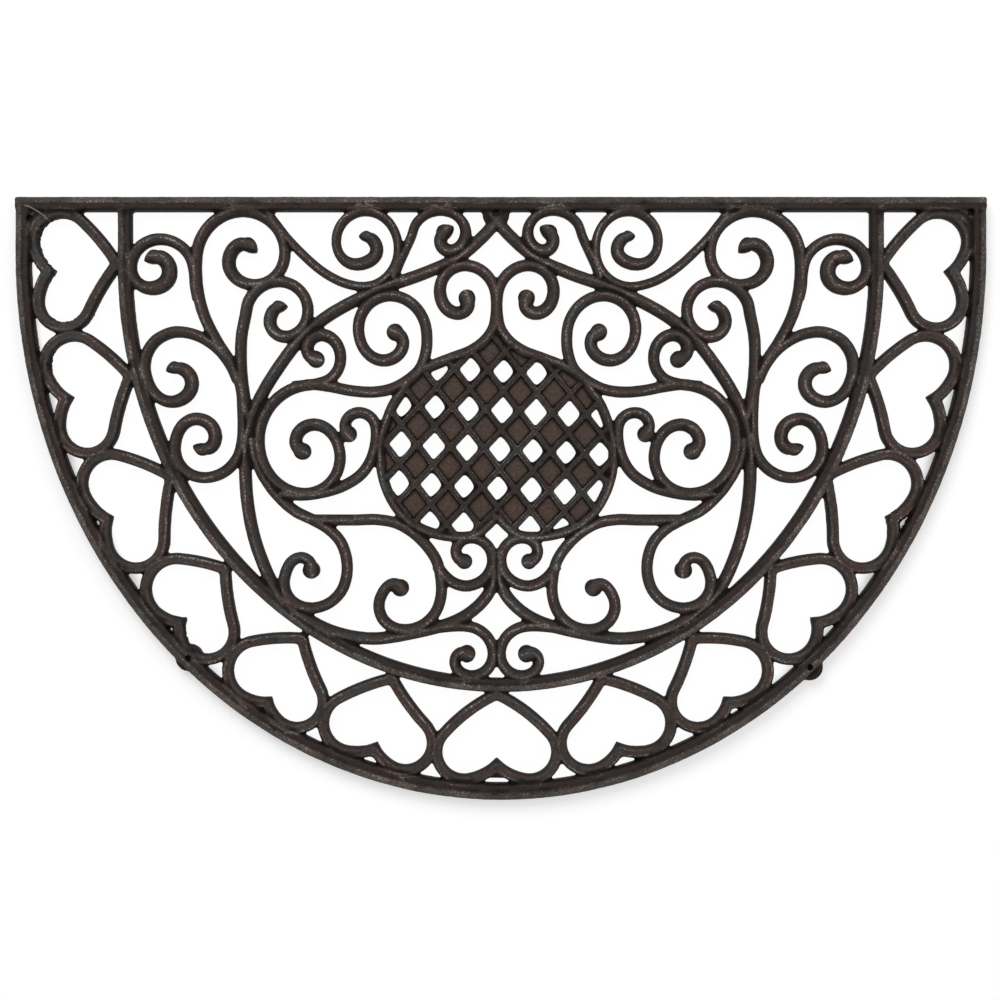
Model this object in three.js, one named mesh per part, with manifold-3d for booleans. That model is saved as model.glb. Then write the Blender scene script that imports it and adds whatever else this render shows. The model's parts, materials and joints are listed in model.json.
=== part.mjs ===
// Cast iron door mat: a half-round openwork casting that stands on five push-in rubber feet.
// Millimetres, +Z up. The origin is the middle of the footprint, on the floor.
// The straight edge lies along +Y and the arched edge faces -Y, as the mat lies at a door.

import * as THREE from 'three';
import { mergeVertices } from 'three/addons/utils/BufferGeometryUtils.js';
import Module from 'manifold-3d';

const wasm = await Module();
wasm.setup();

// Overall size and the rim
const MAT_WIDTH = 740;
const MAT_DEPTH = 460;
const SIDE_LENGTH = 43;
const RIM_WIDTH = 11;
const RIM_FRONT_WIDTH = 13;
const BAR_WIDTH = 11;
const RIM_HEIGHT = 11;

// Inner arch that parts the field from the border of hearts, to the middle of its strand
const ARCH_SPAN = 574;
const ARCH_REACH = 372.5;
const ARCH_SIDE = 52;

// Widths and heights of the cast strands, above the flat underside
const GARLAND_WIDTH = 9.6;
const ARCH_WIDTH = 11;
const SCROLL_WIDTH = 8.8;
const FINE_SCROLL_WIDTH = 7.2;
const SWELL_LENGTH = 60;
const HEART_WIDTH = 9;
const STRAND_HEIGHT = 9.5;
const FLAT_CREST = 0.62;
const BULB_CREST = 0.5;

// Medallion: oval ring round a diagonal lattice of open and panelled diamonds
const RING_WIDTH = 8;
const LATTICE_MIDDLE = [2, 192.3];
const CELL_WIDTH = 25.5;
const CELL_DEPTH = 29.8;
const LATTICE_TILT = 2.9;
const RIB_WIDTH = 6.2;
const RIB_CREST = 3.4;
const RIB_HEIGHT = 8;
const PANEL_HEIGHT = 4;
const MEDALLION_REACH = 92;

// Webs and bosses that carry the feet
const WEB_HEIGHT = 7.5;
const BOSS_RADIUS = 10.3;

// Rubber foot: a pad under the boss and a stem pushed up into its hole
const HOLE_RADIUS = 2.6;
const STEM_CLEARANCE = 0.3;
const STEM_RECESS = 2.5;
const PAD_RADIUS = 9.5;
const PAD_THICKNESS = 4;
const PAD_ROUNDING = 1;

// Smoothness of the curves
const MAX_SAG = 0.7;
const FINE_STEP = 2;
const VOLUTE_STEP = 22.5;
const LOBE_STEP = 30;
const EASED_STEPS = 2;
const ARC_STEPS = 48;
const SMALLEST_EDGE = 0.15;
const ROUND_FACETS = 24;
const BULB_FACETS = 8;

// The ornament is drawn on a board of this size and stretches with the mat. A drawn point is
// [distance from the middle line, distance from the straight edge], and both halves are alike.
const BOARD_WIDTH = 740;
const BOARD_DEPTH = 460;
const UNDERSIDE = PAD_THICKNESS;

// How far the ornament's axis lies to the right of the mat's own middle line, or here to the left
const AXIS_SHIFT = -3.2;

// Long strand from the middle of the straight edge, out round the field and back to the middle line
const GARLAND = [
  [0, 18], [12, 31], [30, 46], [55, 57.5], [92, 71], [128, 89.5], [150, 107.5], [169, 132], [182, 154],
  [190, 177], [193, 208], [190, 243], [182, 273], [168, 301], [137, 327], [100, 337], [62, 332.5],
  [30, 323], [14, 312], [5, 300], [2.5, 285], [2.2, 270],
];

// Scrolls of the field. A volute winds about its eye: radii are its distances from the eye at each
// quarter turn, the first at compass angle from (0 right, 90 towards the straight edge), and turn is
// 1 anticlockwise or -1 clockwise. The stem runs from the scroll's far end to the volute's first point.
// A scroll swells towards its tip, and a bulb rounds the tip off.
const SCROLLS = [
  {
    stem: [[79, 62], [75, 51], [70, 40]],
    volute: { eye: [37, 30], from: 0, turn: 1, radii: [28.5, 19, 13, 10.5, 5.6, 4.4], sweep: 402 },
    width: FINE_SCROLL_WIDTH, swell: 3, bulb: 6.6,
  },
  {
    stem: [[178, 9], [168, 22], [160, 32], [140, 51.5], [128, 60], [116, 65.5]],
    volute: {
      eye: [102, 40], from: 270, turn: -1, radii: [28, 26.5, 29.5, 20, 10, 10, 10.5, 10.5], sweep: 526,
    },
    width: FINE_SCROLL_WIDTH, swell: 3, bulb: 4.6,
  },
  {
    start: { eye: [193, 48], from: 0, turn: 1, radii: [38, 37.5, 29.7, 17.5, 12.8, 12.5, 8], sweep: 463 },
    startBulb: 6.3,
    stem: [[230, 70], [225, 90], [215, 110], [204, 127], [197, 143], [195, 161]],
    volute: { eye: [230, 186], from: 180, turn: 1, radii: [34.5, 27.5, 17, 16.8, 13.2, 5.5], sweep: 419 },
    width: SCROLL_WIDTH, swell: 1.6, bulb: 5.6,
  },
  {
    stem: [[190, 170], [194.5, 148], [196.5, 125], [196, 106]],
    volute: { eye: [165, 90], from: 0, turn: 1, radii: [28, 25.8, 19.8, 16, 8.2, 6.8], sweep: 430 },
    width: SCROLL_WIDTH, swell: 1, bulb: 5.2,
  },
  {
    start: { eye: [84, 107], from: 180, turn: -1, radii: [30.5, 32, 21.2, 17.2, 11.3, 0.5], sweep: 392 },
    startBulb: 6.9,
    stem: [[54.5, 119], [59, 131], [69, 140], [81, 146.2], [95, 148.6], [112, 147.5], [127, 144.6]],
    volute: { eye: [143, 190], from: 90, turn: -1, radii: [47, 39.5, 35.8, 21.5, 16.2, 10.5, 2], sweep: 484 },
    width: SCROLL_WIDTH, swell: 1, bulb: 7,
  },
  {
    stem: [[156, 144.5]],
    volute: { eye: [137, 118], from: 270, turn: -1, radii: [24, 16.7, 12.8, 8, 5.7, 5.5], sweep: 345 },
    width: SCROLL_WIDTH, swell: 1.2, bulb: 6.9,
  },
  {
    stem: [[60, 133], [46, 127], [33, 122], [20, 117], [9.5, 109.5], [2.8, 100], [0.6, 90]],
    volute: { eye: [27, 78], from: 180, turn: -1, radii: [26.7, 26, 15.3, 9.8, 4.7, 3.6], sweep: 372 },
    width: SCROLL_WIDTH, swell: 1.6, bulb: 6.9,
  },
  {
    stem: [[46, 281], [40, 289], [33, 294.5]],
    volute: { eye: [24, 275], from: 270, turn: -1, radii: [22, 20.7, 14, 6, 3, 3], sweep: 350 },
    width: SCROLL_WIDTH, bulb: 6.3,
  },
  {
    stem: [[140, 246.5], [108, 246.5], [92, 246.2], [77, 249], [64.5, 256], [53.5, 266.5], [46, 278],
      [43, 290]],
    volute: { eye: [77, 304], from: 180, turn: 1, radii: [34.4, 25.5, 11.3, 8.6, 2.5], sweep: 300 },
    width: SCROLL_WIDTH, bulb: 7,
  },
  {
    stem: [[187, 184], [186, 196], [181.5, 208], [175, 219], [167, 229], [155, 239.5], [141, 246.5],
      [129, 253.5], [120, 263], [115.5, 275]],
    volute: { eye: [149, 288], from: 180, turn: 1, radii: [34, 25, 13.3, 12.7, 6.2, 5.5], sweep: 335 },
    width: SCROLL_WIDTH, bulb: 7,
  },
  {
    stem: [[166, 226], [150, 227.5], [134, 225.5], [118, 220.5], [104, 211.5], [96.3, 200], [92.8, 187]],
    volute: { eye: [107, 177], from: 180, turn: -1, radii: [14.5, 12.5, 9, 5], sweep: 210 },
    width: SCROLL_WIDTH, bulb: 6.8,
  },
  {
    stem: [[229.5, 78], [231.5, 68]],
    volute: { eye: [262, 57], from: 180, turn: -1, radii: [29.5, 25, 19, 11.7, 10.3, 11.7, 9], sweep: 455 },
    width: SCROLL_WIDTH, swell: 3.2, bulb: 6.1,
  },
  {
    stem: [[199, 140], [204, 129], [213, 117], [225, 108], [237, 103.5]],
    volute: { eye: [249, 141], from: 90, turn: -1, radii: [38, 19.5, 15, 14.5, 10.8, 9], sweep: 350 },
    width: SCROLL_WIDTH, swell: 1.8, bulb: 5.4,
  },
  {
    stem: [[60, 332], [42, 328.5]],
    volute: { eye: [24, 352], from: 90, turn: 1, radii: [24.3, 21, 13, 7.5, 4, 3.2], sweep: 380 },
    width: SCROLL_WIDTH, bulb: 7,
  },
];

// Hearts of the border: tip on the arch, notch towards the rim, and the two lobes as [x, depth, radius]
const SIDE_HEARTS = [
  { tip: [292, 51], notch: [345, 57], lobes: [[335, 33.5, 22], [333, 79.5, 20.3]] },
  { tip: [282, 136.8], notch: [331.5, 154], lobes: [[325.8, 128, 22.4], [315.5, 174.3, 21.3]] },
  { tip: [250, 213.5], notch: [300, 246], lobes: [[297, 218.5, 22.4], [278, 261, 22.4]] },
  { tip: [206.5, 284], notch: [243.5, 325], lobes: [[246.5, 299.5, 23.5], [221, 332, 21.7]] },
  { tip: [149, 337], notch: [176, 386], lobes: [[183.7, 361.7, 22.8], [153.5, 385, 20.5]] },
  { tip: [80, 367.5], notch: [93.5, 421.5], lobes: [[111.5, 402, 21.5], [70, 417, 20.8]] },
];
const FRONT_HEART = { tip: [0, 379.5], notch: [0, 434], lobes: [[25, 424, 21], [-25, 424, 21]] };

// How far round, in degrees, the sides of a heart lean in at its tip and steepen at its notch
const HEART_LEAN = 12;
const HEART_BELLY = 14;

// Right half of the medallion's ring, from the top of the lattice down to its lowest point
const RING = [
  [33, 122], [46, 127], [57, 132.5], [65.5, 139.5], [72.5, 148.5], [79.5, 159], [84.5, 171.5], [88, 185],
  [89, 199], [87, 214], [82, 228], [74.5, 240], [63.5, 250], [49, 256.5], [32, 259.3], [17, 258],
  [8, 251.5], [0, 243],
];
const RING_TOP = [[0, 99], [10, 110.5], [20, 117]];

// First and last open cell of each row that has open cells, counted in half cells across
const OPEN_CELLS = { '-4': [-4, 2], '-2': [-6, 6], 0: [-6, 6], 2: [-6, 6], 4: [-4, 4] };

// Feet, at the holes of the casting; these are not quite alike on the two sides
const FEET = {
  rubber_foot_left_corner: [-359, 16.5],
  rubber_foot_right_corner: [357.7, 12],
  rubber_foot_straight_edge: [-3.8, 12.8],
  rubber_foot_front_left: [-237.8, 351.5],
  rubber_foot_front_right: [235.2, 358.5],
};

// Corner webs: the first heart's outer lobe leaves the corner of the rim filled
const CORNER_LOBE = SIDE_HEARTS[0].lobes[0];

const IRON = new THREE.MeshStandardMaterial(
  { name: 'cast_iron', color: 0x4b403c, roughness: 0.62, metalness: 0.55 });
const RUBBER = new THREE.MeshStandardMaterial(
  { name: 'rubber', color: 0x1b1b1c, roughness: 0.85, metalness: 0 });

// Drawn points of an arch: straight sides down from the bar, closed by half an ellipse
function archPoints(span, reach, sideLength) {
  const points = [];
  for (let n = 0; n <= ARC_STEPS; n++) {
    const angle = Math.PI * n / ARC_STEPS;
    points.push([span / 2 * Math.cos(angle), sideLength + (reach - sideLength) * Math.sin(angle)]);
  }
  const middleOfBar = BAR_WIDTH / 2;
  return [[span / 2, middleOfBar], [span / 2, sideLength * 0.95], ...points,
    [-span / 2, sideLength * 0.95], [-span / 2, middleOfBar]];
}

// Places a drawn point in the model; side -1 is the mirrored half
function place([x, depth], side = 1) {
  return new THREE.Vector3(side * x * MAT_WIDTH / BOARD_WIDTH, MAT_DEPTH * (0.5 - depth / BOARD_DEPTH), 0);
}

// Places a drawn point of the ornament, whose axis is shifted in the middle and keeps to the rim at the sides
function placeOrnament([x, depth], side = 1) {
  const share = 2 * x / BOARD_WIDTH;
  return place([x + side * AXIS_SHIFT * (1 - share * share), depth], side);
}

function radians(degrees) {
  return THREE.MathUtils.degToRad(degrees);
}

// Smooth value between the entries of a list, at a position counted in entries
function between(list, position) {
  const last = list.length - 1;
  const k = Math.min(Math.floor(position), last - 1);
  const t = position - k;
  const [a, b, c, d] = [Math.max(k - 1, 0), k, k + 1, Math.min(k + 2, last)].map((n) => list[n]);
  return b + 0.5 * t * (c - a + t * (2 * a - 5 * b + 4 * c - d + t * (3 * (b - c) + d - a)));
}

// Drawn points of a volute, from its outer end to its tip
function volutePoints({ eye, from, turn, radii, sweep }) {
  const points = [];
  const steps = Math.round(sweep / VOLUTE_STEP);
  for (let n = 0; n <= steps; n++) {
    const swept = sweep * n / steps;
    const radius = between(radii, swept / 90);
    const angle = radians(from + turn * swept);
    points.push([eye[0] + radius * Math.cos(angle), eye[1] - radius * Math.sin(angle)]);
  }
  return points;
}

function scrollPoints({ start, stem, volute }) {
  const first = start ? volutePoints(start).reverse() : [];
  return [...first, ...stem, ...volutePoints(volute)];
}

// Drawn points of one side of a heart: a curve from its tip, the round of the lobe, and a curve to its
// notch. Straight sides would touch the lobe at its tangent points; these meet it a little further round.
function lobePoints(tip, notch, [lobeX, lobeDepth, radius]) {
  const centre = new THREE.Vector2(lobeX, lobeDepth);
  const bearing = ([x, depth]) => Math.atan2(depth - lobeDepth, x - lobeX);
  const toTangent = (point) =>
    Math.acos(Math.min(1, radius / centre.distanceTo(new THREE.Vector2(...point))));
  const side = (notch[0] - tip[0]) * (lobeDepth - tip[1]) - (notch[1] - tip[1]) * (lobeX - tip[0]);
  const turn = -Math.sign(side);
  const begin = bearing(tip) + turn * (toTangent(tip) + radians(HEART_LEAN));
  const end = bearing(notch) - turn * (toTangent(notch) + radians(HEART_BELLY));
  const arc = THREE.MathUtils.euclideanModulo((end - begin) * turn, 2 * Math.PI);
  const steps = Math.ceil(arc / radians(LOBE_STEP));
  const onLobe = (angle) =>
    new THREE.Vector2(radius, 0).rotateAround(new THREE.Vector2(), angle).add(centre);
  const round = Array.from({ length: steps + 1 }, (_, n) => onLobe(begin + turn * arc * n / steps));
  const [lean, belly] = [-turn * radians(HEART_LEAN), -turn * radians(HEART_BELLY)];
  const fromTip = easedPoints(new THREE.Vector2(...tip), round[0], begin, turn, lean);
  const fromNotch = easedPoints(new THREE.Vector2(...notch), round.at(-1), end, -turn, belly);
  return [...fromTip, ...round, ...fromNotch.reverse()].map(({ x, y }) => [x, y]);
}

// Points between a corner and the lobe point that a curve meets in the lobe's own direction, where the
// curve leaves the corner turned by an angle from the straight line
function easedPoints(corner, meeting, angle, turn, lean) {
  const reach = corner.distanceTo(meeting);
  const leave = meeting.clone().sub(corner).rotateAround(new THREE.Vector2(), lean);
  const arrive = new THREE.Vector2(-Math.sin(angle), Math.cos(angle)).multiplyScalar(turn * reach);
  const near = corner.clone().addScaledVector(leave, 1 / 3);
  const far = meeting.clone().addScaledVector(arrive, -1 / 3);
  const curve = new THREE.CubicBezierCurve(corner, near, far, meeting);
  return curve.getPoints(EASED_STEPS).slice(1, -1);
}

// Thins closely spaced points to those that keep every chord within the allowed sag
function thinned(points) {
  const kept = [0];
  for (let end = 2; end < points.length; end++) {
    const from = points[kept.at(-1)];
    const chord = new THREE.Line3(from, points[end]);
    const foot = new THREE.Vector3();
    const strays = points.slice(kept.at(-1) + 1, end).some(
      (point) => chord.closestPointToPoint(point, true, foot).distanceTo(point) > MAX_SAG);
    if (strays) kept.push(end - 1);
  }
  kept.push(points.length - 1);
  return kept;
}

// Stations along a smooth curve through placed points: where each is, its left side and its distance
function stations(placed) {
  const curve = new THREE.CatmullRomCurve3(placed, false, 'centripetal');
  const length = curve.getLength();
  const divisions = Math.ceil(length / FINE_STEP);
  const points = curve.getSpacedPoints(divisions);
  return thinned(points).map((n) => {
    const tangent = curve.getTangentAt(n / divisions);
    const left = new THREE.Vector3(-tangent.y, tangent.x, 0).normalize();
    return { point: points[n], left, along: length * n / divisions, length };
  });
}

// Turns a closed surface into a solid that can be joined and cut
function solid(geometry) {
  geometry.deleteAttribute('normal');
  geometry.deleteAttribute('uv');
  const merged = mergeVertices(geometry, 1e-4);
  const mesh = new wasm.Mesh({
    numProp: 3,
    vertProperties: new Float32Array(merged.attributes.position.array),
    triVerts: new Uint32Array(merged.index.array),
  });
  return new wasm.Manifold(mesh);
}

function join(solids) {
  return solids.reduce((whole, piece) => whole.add(piece));
}

// Closed surface through rings of as many points each: a loop, or a length with a cap at each end
function loft(rings, { looped = false } = {}) {
  const count = rings[0].length;
  const total = rings.length * count;
  const positions = rings.flat().flatMap((point) => [point.x, point.y, point.z]);
  const index = [];
  for (let ring = 0; ring < (looped ? rings.length : rings.length - 1); ring++) {
    for (let k = 0; k < count; k++) {
      const a = ring * count + k;
      const b = ring * count + (k + 1) % count;
      const [nextA, nextB] = [(a + count) % total, (b + count) % total];
      index.push(a, nextB, nextA, a, b, nextB);
    }
  }
  const last = total - count;
  for (let k = 1; !looped && k + 1 < count; k++) {
    index.push(0, k + 1, k, last, last + k, last + k + 1);
  }
  const geometry = new THREE.BufferGeometry();
  geometry.setAttribute('position', new THREE.Float32BufferAttribute(positions, 3));
  geometry.setIndex(index);
  return geometry;
}

// Section of a strand across a point: flat underside and sloping flanks that meet in a ridge, or in
// a flat crest where one is given, as a share of the width
function section(point, left, half, height, crest = 0) {
  const top = UNDERSIDE + height;
  const corner = (share, z) => point.clone().addScaledVector(left, half * share).setZ(z);
  const crown = crest > 0 ? [corner(crest, top), corner(-crest, top)] : [corner(0, top)];
  return [corner(-1, UNDERSIDE), corner(1, UNDERSIDE), ...crown];
}

// Cast strand along a smooth curve through placed points
function strand(placed, { widthAt, height, crest }) {
  const rings = stations(placed).map(
    ({ point, left, along, length }) => section(point, left, widthAt(along, length) / 2, height, crest));
  return solid(loft(rings));
}

// Cast strand round a closed run of straight lengths, mitred where they meet
function loopStrand(placed, width, height) {
  const rings = placed.map((point, n) => {
    const before = point.clone().sub(placed.at(n - 1)).normalize();
    const after = placed[(n + 1) % placed.length].clone().sub(point).normalize();
    const along = before.clone().add(after).normalize();
    const mitre = 1 / along.dot(after);
    return section(point, new THREE.Vector3(-along.y, along.x, 0).multiplyScalar(mitre), width / 2, height);
  });
  return solid(loft(rings, { looped: true }));
}

// Low domed end of a curl
function bulb(centre, radius) {
  const profile = [[0, 0], [radius, 0], [radius * BULB_CREST, STRAND_HEIGHT], [0, STRAND_HEIGHT]];
  const dome = new THREE.LatheGeometry(profile.map(([r, z]) => new THREE.Vector2(r, z)), BULB_FACETS);
  dome.rotateX(Math.PI / 2);
  dome.translate(centre.x, centre.y, UNDERSIDE);
  return solid(dome);
}

// Scroll that swells towards its tips, each rounded off by a bulb
function scroll({ start, startBulb, stem, volute, width, swell = 0, bulb: bulbRadius }, side) {
  const placed = scrollPoints({ start, stem, volute }).map((point) => placeOrnament(point, side));
  const widthAt = (along, length) => {
    const toTip = start ? Math.min(along, length - along) : length - along;
    return width + swell * THREE.MathUtils.smoothstep(SWELL_LENGTH - toTip, 0, SWELL_LENGTH * 0.6);
  };
  const body = strand(placed, { widthAt, height: STRAND_HEIGHT });
  const ends = start ? [bulb(placed[0], startBulb)] : [];
  return join([body, bulb(placed.at(-1), bulbRadius), ...ends]);
}

function heart({ tip, notch, lobes }, side) {
  const [first, second] = lobes.map((lobe) => lobePoints(tip, notch, lobe));
  const outline = [tip, ...first, notch, ...second.reverse()];
  return loopStrand(outline.map((point) => placeOrnament(point, side)), HEART_WIDTH, STRAND_HEIGHT);
}

function plainStrand(drawn, width, side) {
  const placed = drawn.map((point) => placeOrnament(point, side));
  return strand(placed, { widthAt: () => width, height: STRAND_HEIGHT });
}

// Rim: a bar along the straight edge, closed by an arch that widens towards the front
function rim() {
  const profile = { height: RIM_HEIGHT, crest: FLAT_CREST };
  const rounded = archPoints(BOARD_WIDTH - RIM_WIDTH, BOARD_DEPTH - RIM_FRONT_WIDTH / 2, SIDE_LENGTH);
  const widthAt = (along, length) =>
    THREE.MathUtils.lerp(RIM_WIDTH, RIM_FRONT_WIDTH, Math.sin(Math.PI * along / length) ** 4);
  const arch = strand(rounded.map((point) => place(point)), { ...profile, widthAt });
  const barEnds = [-1, 1].map((side) => place([BOARD_WIDTH / 2, BAR_WIDTH / 2], side));
  return arch.add(strand(barEnds, { ...profile, widthAt: () => BAR_WIDTH }));
}

function innerArch() {
  const placed = archPoints(ARCH_SPAN, ARCH_REACH, ARCH_SIDE).map((point) => place(point));
  return strand(placed, { widthAt: () => ARCH_WIDTH, height: STRAND_HEIGHT, crest: FLAT_CREST });
}

// Flat plate of an outline, rising from the underside
function plate(outline, height) {
  const shape = new THREE.Shape(outline.map((point) => new THREE.Vector2(point.x, point.y)));
  const geometry = new THREE.ExtrudeGeometry(shape, { depth: height, bevelEnabled: false });
  geometry.translate(0, 0, UNDERSIDE);
  return solid(geometry);
}

// Fills the corner of the rim as far as the round of the first heart's outer lobe
function cornerWeb(side) {
  const [lobeX, lobeDepth, radius] = CORNER_LOBE;
  const outerX = BOARD_WIDTH / 2 - RIM_WIDTH / 2;
  const outline = [[lobeX, BAR_WIDTH / 2], [outerX, BAR_WIDTH / 2], [outerX, lobeDepth + radius / 2]];
  const steps = 6;
  for (let n = 0; n <= steps; n++) {
    const angle = radians(-30 + 120 * n / steps);
    outline.push([lobeX + radius * Math.cos(angle), lobeDepth - radius * Math.sin(angle)]);
  }
  return plate(outline.map((point) => place(point, side)), WEB_HEIGHT);
}

// The whole medallion outline as placed points, both halves
function medallionOutline() {
  const half = [...RING_TOP, ...RING];
  const right = half.map((point) => placeOrnament(point));
  const left = half.slice(1, -1).map((point) => placeOrnament(point, -1)).reverse();
  return [...right, ...left];
}

// Corners of the diamond cell that lies so many half cells across and down from the lattice's middle,
// drawn in from the middle lines of its ribs by an inset
function cellCorners(across, down, inset) {
  const [a, b] = [CELL_WIDTH / 2, CELL_DEPTH / 2];
  const scale = 1 - inset * Math.hypot(a, b) / (a * b);
  return [[1, 0], [0, 1], [-1, 0], [0, -1]].map(([u, v]) => {
    const turned = new THREE.Vector2((across + u * scale) * a, (down + v * scale) * b)
      .rotateAround(new THREE.Vector2(), radians(LATTICE_TILT));
    return placeOrnament([LATTICE_MIDDLE[0] + turned.x, LATTICE_MIDDLE[1] + turned.y]);
  });
}

// Hollow of one cell, from a floor up, between the drafted walls of its four ribs
function cellHollow(across, down, floor) {
  const rings = [floor, RIB_HEIGHT + 1].map((height) => {
    const width = THREE.MathUtils.lerp(RIB_WIDTH, RIB_CREST, height / RIB_HEIGHT);
    return cellCorners(across, down, width / 2).map((corner) => corner.setZ(UNDERSIDE + height)).reverse();
  });
  return solid(loft(rings));
}

// Hollows of all cells, down to a thin panel or, in the open cells, right through
function latticeHollows() {
  const hollows = [];
  const reach = Math.ceil(MEDALLION_REACH / CELL_WIDTH) * 2;
  for (let down = -reach; down <= reach; down++) {
    for (let across = -reach; across <= reach; across++) {
      if ((across + down) % 2 !== 0) continue;
      const [first, last] = OPEN_CELLS[down] ?? [1, 0];
      const isOpen = across >= first && across <= last;
      hollows.push(cellHollow(across, down, isOpen ? -1 : PANEL_HEIGHT));
    }
  }
  return hollows;
}

function medallion() {
  const outline = medallionOutline();
  const lattice = plate(outline, RIB_HEIGHT).subtract(join(latticeHollows()));
  return join([lattice, ...[1, -1].map((side) => plainStrand(RING, RING_WIDTH, side))]);
}

function boss(spot) {
  const disc = new THREE.CylinderGeometry(BOSS_RADIUS, BOSS_RADIUS, WEB_HEIGHT, ROUND_FACETS);
  disc.rotateX(Math.PI / 2);
  disc.translate(spot.x, spot.y, UNDERSIDE + WEB_HEIGHT / 2);
  return solid(disc);
}

function footHole(spot) {
  const drill = new THREE.CylinderGeometry(HOLE_RADIUS, HOLE_RADIUS, 4 * RIM_HEIGHT, ROUND_FACETS);
  drill.rotateX(Math.PI / 2);
  drill.translate(spot.x, spot.y, UNDERSIDE);
  return solid(drill);
}

function ironCasting() {
  const halves = [1, -1].flatMap((side) => [
    plainStrand(GARLAND, GARLAND_WIDTH, side),
    cornerWeb(side),
    ...SCROLLS.map((drawing) => scroll(drawing, side)),
    ...SIDE_HEARTS.map((drawing) => heart(drawing, side)),
  ]);
  const spots = Object.values(FEET).map((point) => place(point));
  const whole = join([rim(), innerArch(), medallion(), heart(FRONT_HEART, 1), ...halves, ...spots.map(boss)]);
  return whole.subtract(join(spots.map(footHole))).simplify(SMALLEST_EDGE);
}

function geometryOf(body) {
  const { vertProperties, triVerts } = body.getMesh();
  const geometry = new THREE.BufferGeometry();
  geometry.setAttribute('position', new THREE.Float32BufferAttribute(vertProperties, 3));
  geometry.setIndex([...triVerts]);
  geometry.computeVertexNormals();
  return geometry;
}

function footGeometry() {
  const stem = HOLE_RADIUS - STEM_CLEARANCE;
  const stemTop = UNDERSIDE + WEB_HEIGHT - STEM_RECESS;
  const profile = [
    [0, 0], [PAD_RADIUS - PAD_ROUNDING, 0], [PAD_RADIUS, PAD_ROUNDING], [PAD_RADIUS, PAD_THICKNESS],
    [stem, PAD_THICKNESS], [stem, stemTop], [0, stemTop],
  ];
  const foot = new THREE.LatheGeometry(profile.map(([r, z]) => new THREE.Vector2(r, z)), ROUND_FACETS);
  return foot.rotateX(Math.PI / 2);
}

function named(name, geometry, material) {
  const mesh = new THREE.Mesh(geometry, material);
  mesh.name = name;
  return mesh;
}

const doorMat = new THREE.Group();
doorMat.name = 'door_mat';
doorMat.add(named('iron_casting', geometryOf(ironCasting()), IRON));
for (const [name, spot] of Object.entries(FEET)) {
  const foot = named(name, footGeometry(), RUBBER);
  foot.position.copy(place(spot));
  doorMat.add(foot);
}

export default doorMat;
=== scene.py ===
"""Half-round cast iron door mat with scrolls, hearts and a lattice medallion, on rubber feet.

The casting is drawn strand by strand, poured into one skin, and painted antique brown-black, with shade and highlights
painted into that colour.
Drawn points are in millimetres: distance from the middle line and from the straight edge.
"""

import json
import logging
import math
from dataclasses import dataclass, field
from enum import Enum

import bpy
import bmesh
import numpy as np
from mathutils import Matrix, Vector
from mathutils.kdtree import KDTree

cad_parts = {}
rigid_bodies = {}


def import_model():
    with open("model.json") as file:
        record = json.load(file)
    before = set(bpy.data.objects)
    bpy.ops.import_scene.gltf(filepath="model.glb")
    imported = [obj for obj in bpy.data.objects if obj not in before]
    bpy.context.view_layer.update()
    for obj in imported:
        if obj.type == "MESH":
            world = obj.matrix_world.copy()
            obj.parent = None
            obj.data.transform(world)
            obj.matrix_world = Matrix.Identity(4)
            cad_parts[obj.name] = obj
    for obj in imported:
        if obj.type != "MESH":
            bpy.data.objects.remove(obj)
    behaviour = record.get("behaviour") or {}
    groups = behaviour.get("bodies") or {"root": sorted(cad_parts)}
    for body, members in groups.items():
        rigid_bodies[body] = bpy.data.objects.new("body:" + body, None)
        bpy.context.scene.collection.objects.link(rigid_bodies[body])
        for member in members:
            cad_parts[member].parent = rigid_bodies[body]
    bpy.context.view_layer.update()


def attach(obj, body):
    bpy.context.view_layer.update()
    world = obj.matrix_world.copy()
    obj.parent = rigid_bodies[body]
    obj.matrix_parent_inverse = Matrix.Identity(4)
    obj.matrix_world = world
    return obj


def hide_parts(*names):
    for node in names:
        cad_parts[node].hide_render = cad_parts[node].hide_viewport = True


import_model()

log = logging.getLogger("door_mat")

MM = 0.001
MAT_WIDTH = 740.0
MAT_DEPTH = 460.0
UNDERSIDE = 4.0
STRAND_HEIGHT = 9.5
RIM_HEIGHT = 11.0
AXIS_SHIFT = -3.2
WELD = 0.002
VOLUTE_STEP = 22.5
LOBE_STEP = math.radians(6)

Drawn = tuple[float, float]
Colour = tuple[float, float, float, float]
Piece = bpy.types.Object


class Half(Enum):
    """Half of the mat, seen from above with the straight edge at the far side."""

    RIGHT = 1
    LEFT = -1


def place(point: Drawn, half: Half = Half.RIGHT) -> np.ndarray:
    """Put a drawn point in the mat's frame.

    Args:
        point: distance from the middle line and from the straight edge, in millimetres.
        half: which half of the mat.

    Returns:
        The place as x, y in millimetres.
    """
    return np.array([half.value * point[0], MAT_DEPTH / 2 - point[1]])


def place_ornament(point: Drawn, half: Half = Half.RIGHT) -> np.ndarray:
    """Put a drawn point of the ornament, whose axis lies a little left of the rim's middle.

    Args:
        point: distance from the ornament's axis and from the straight edge, in millimetres.
        half: which half of the mat.

    Returns:
        The place as x, y in millimetres.
    """
    share = 2 * point[0] / MAT_WIDTH
    return place((point[0] + half.value * AXIS_SHIFT * (1 - share * share), point[1]), half)


def drawn_line(points: list[Drawn] | tuple[Drawn, ...], half: Half) -> np.ndarray:
    """Drawn points of the ornament as rows of x, y in millimetres."""
    return np.array([place_ornament(point, half) for point in points])


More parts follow.
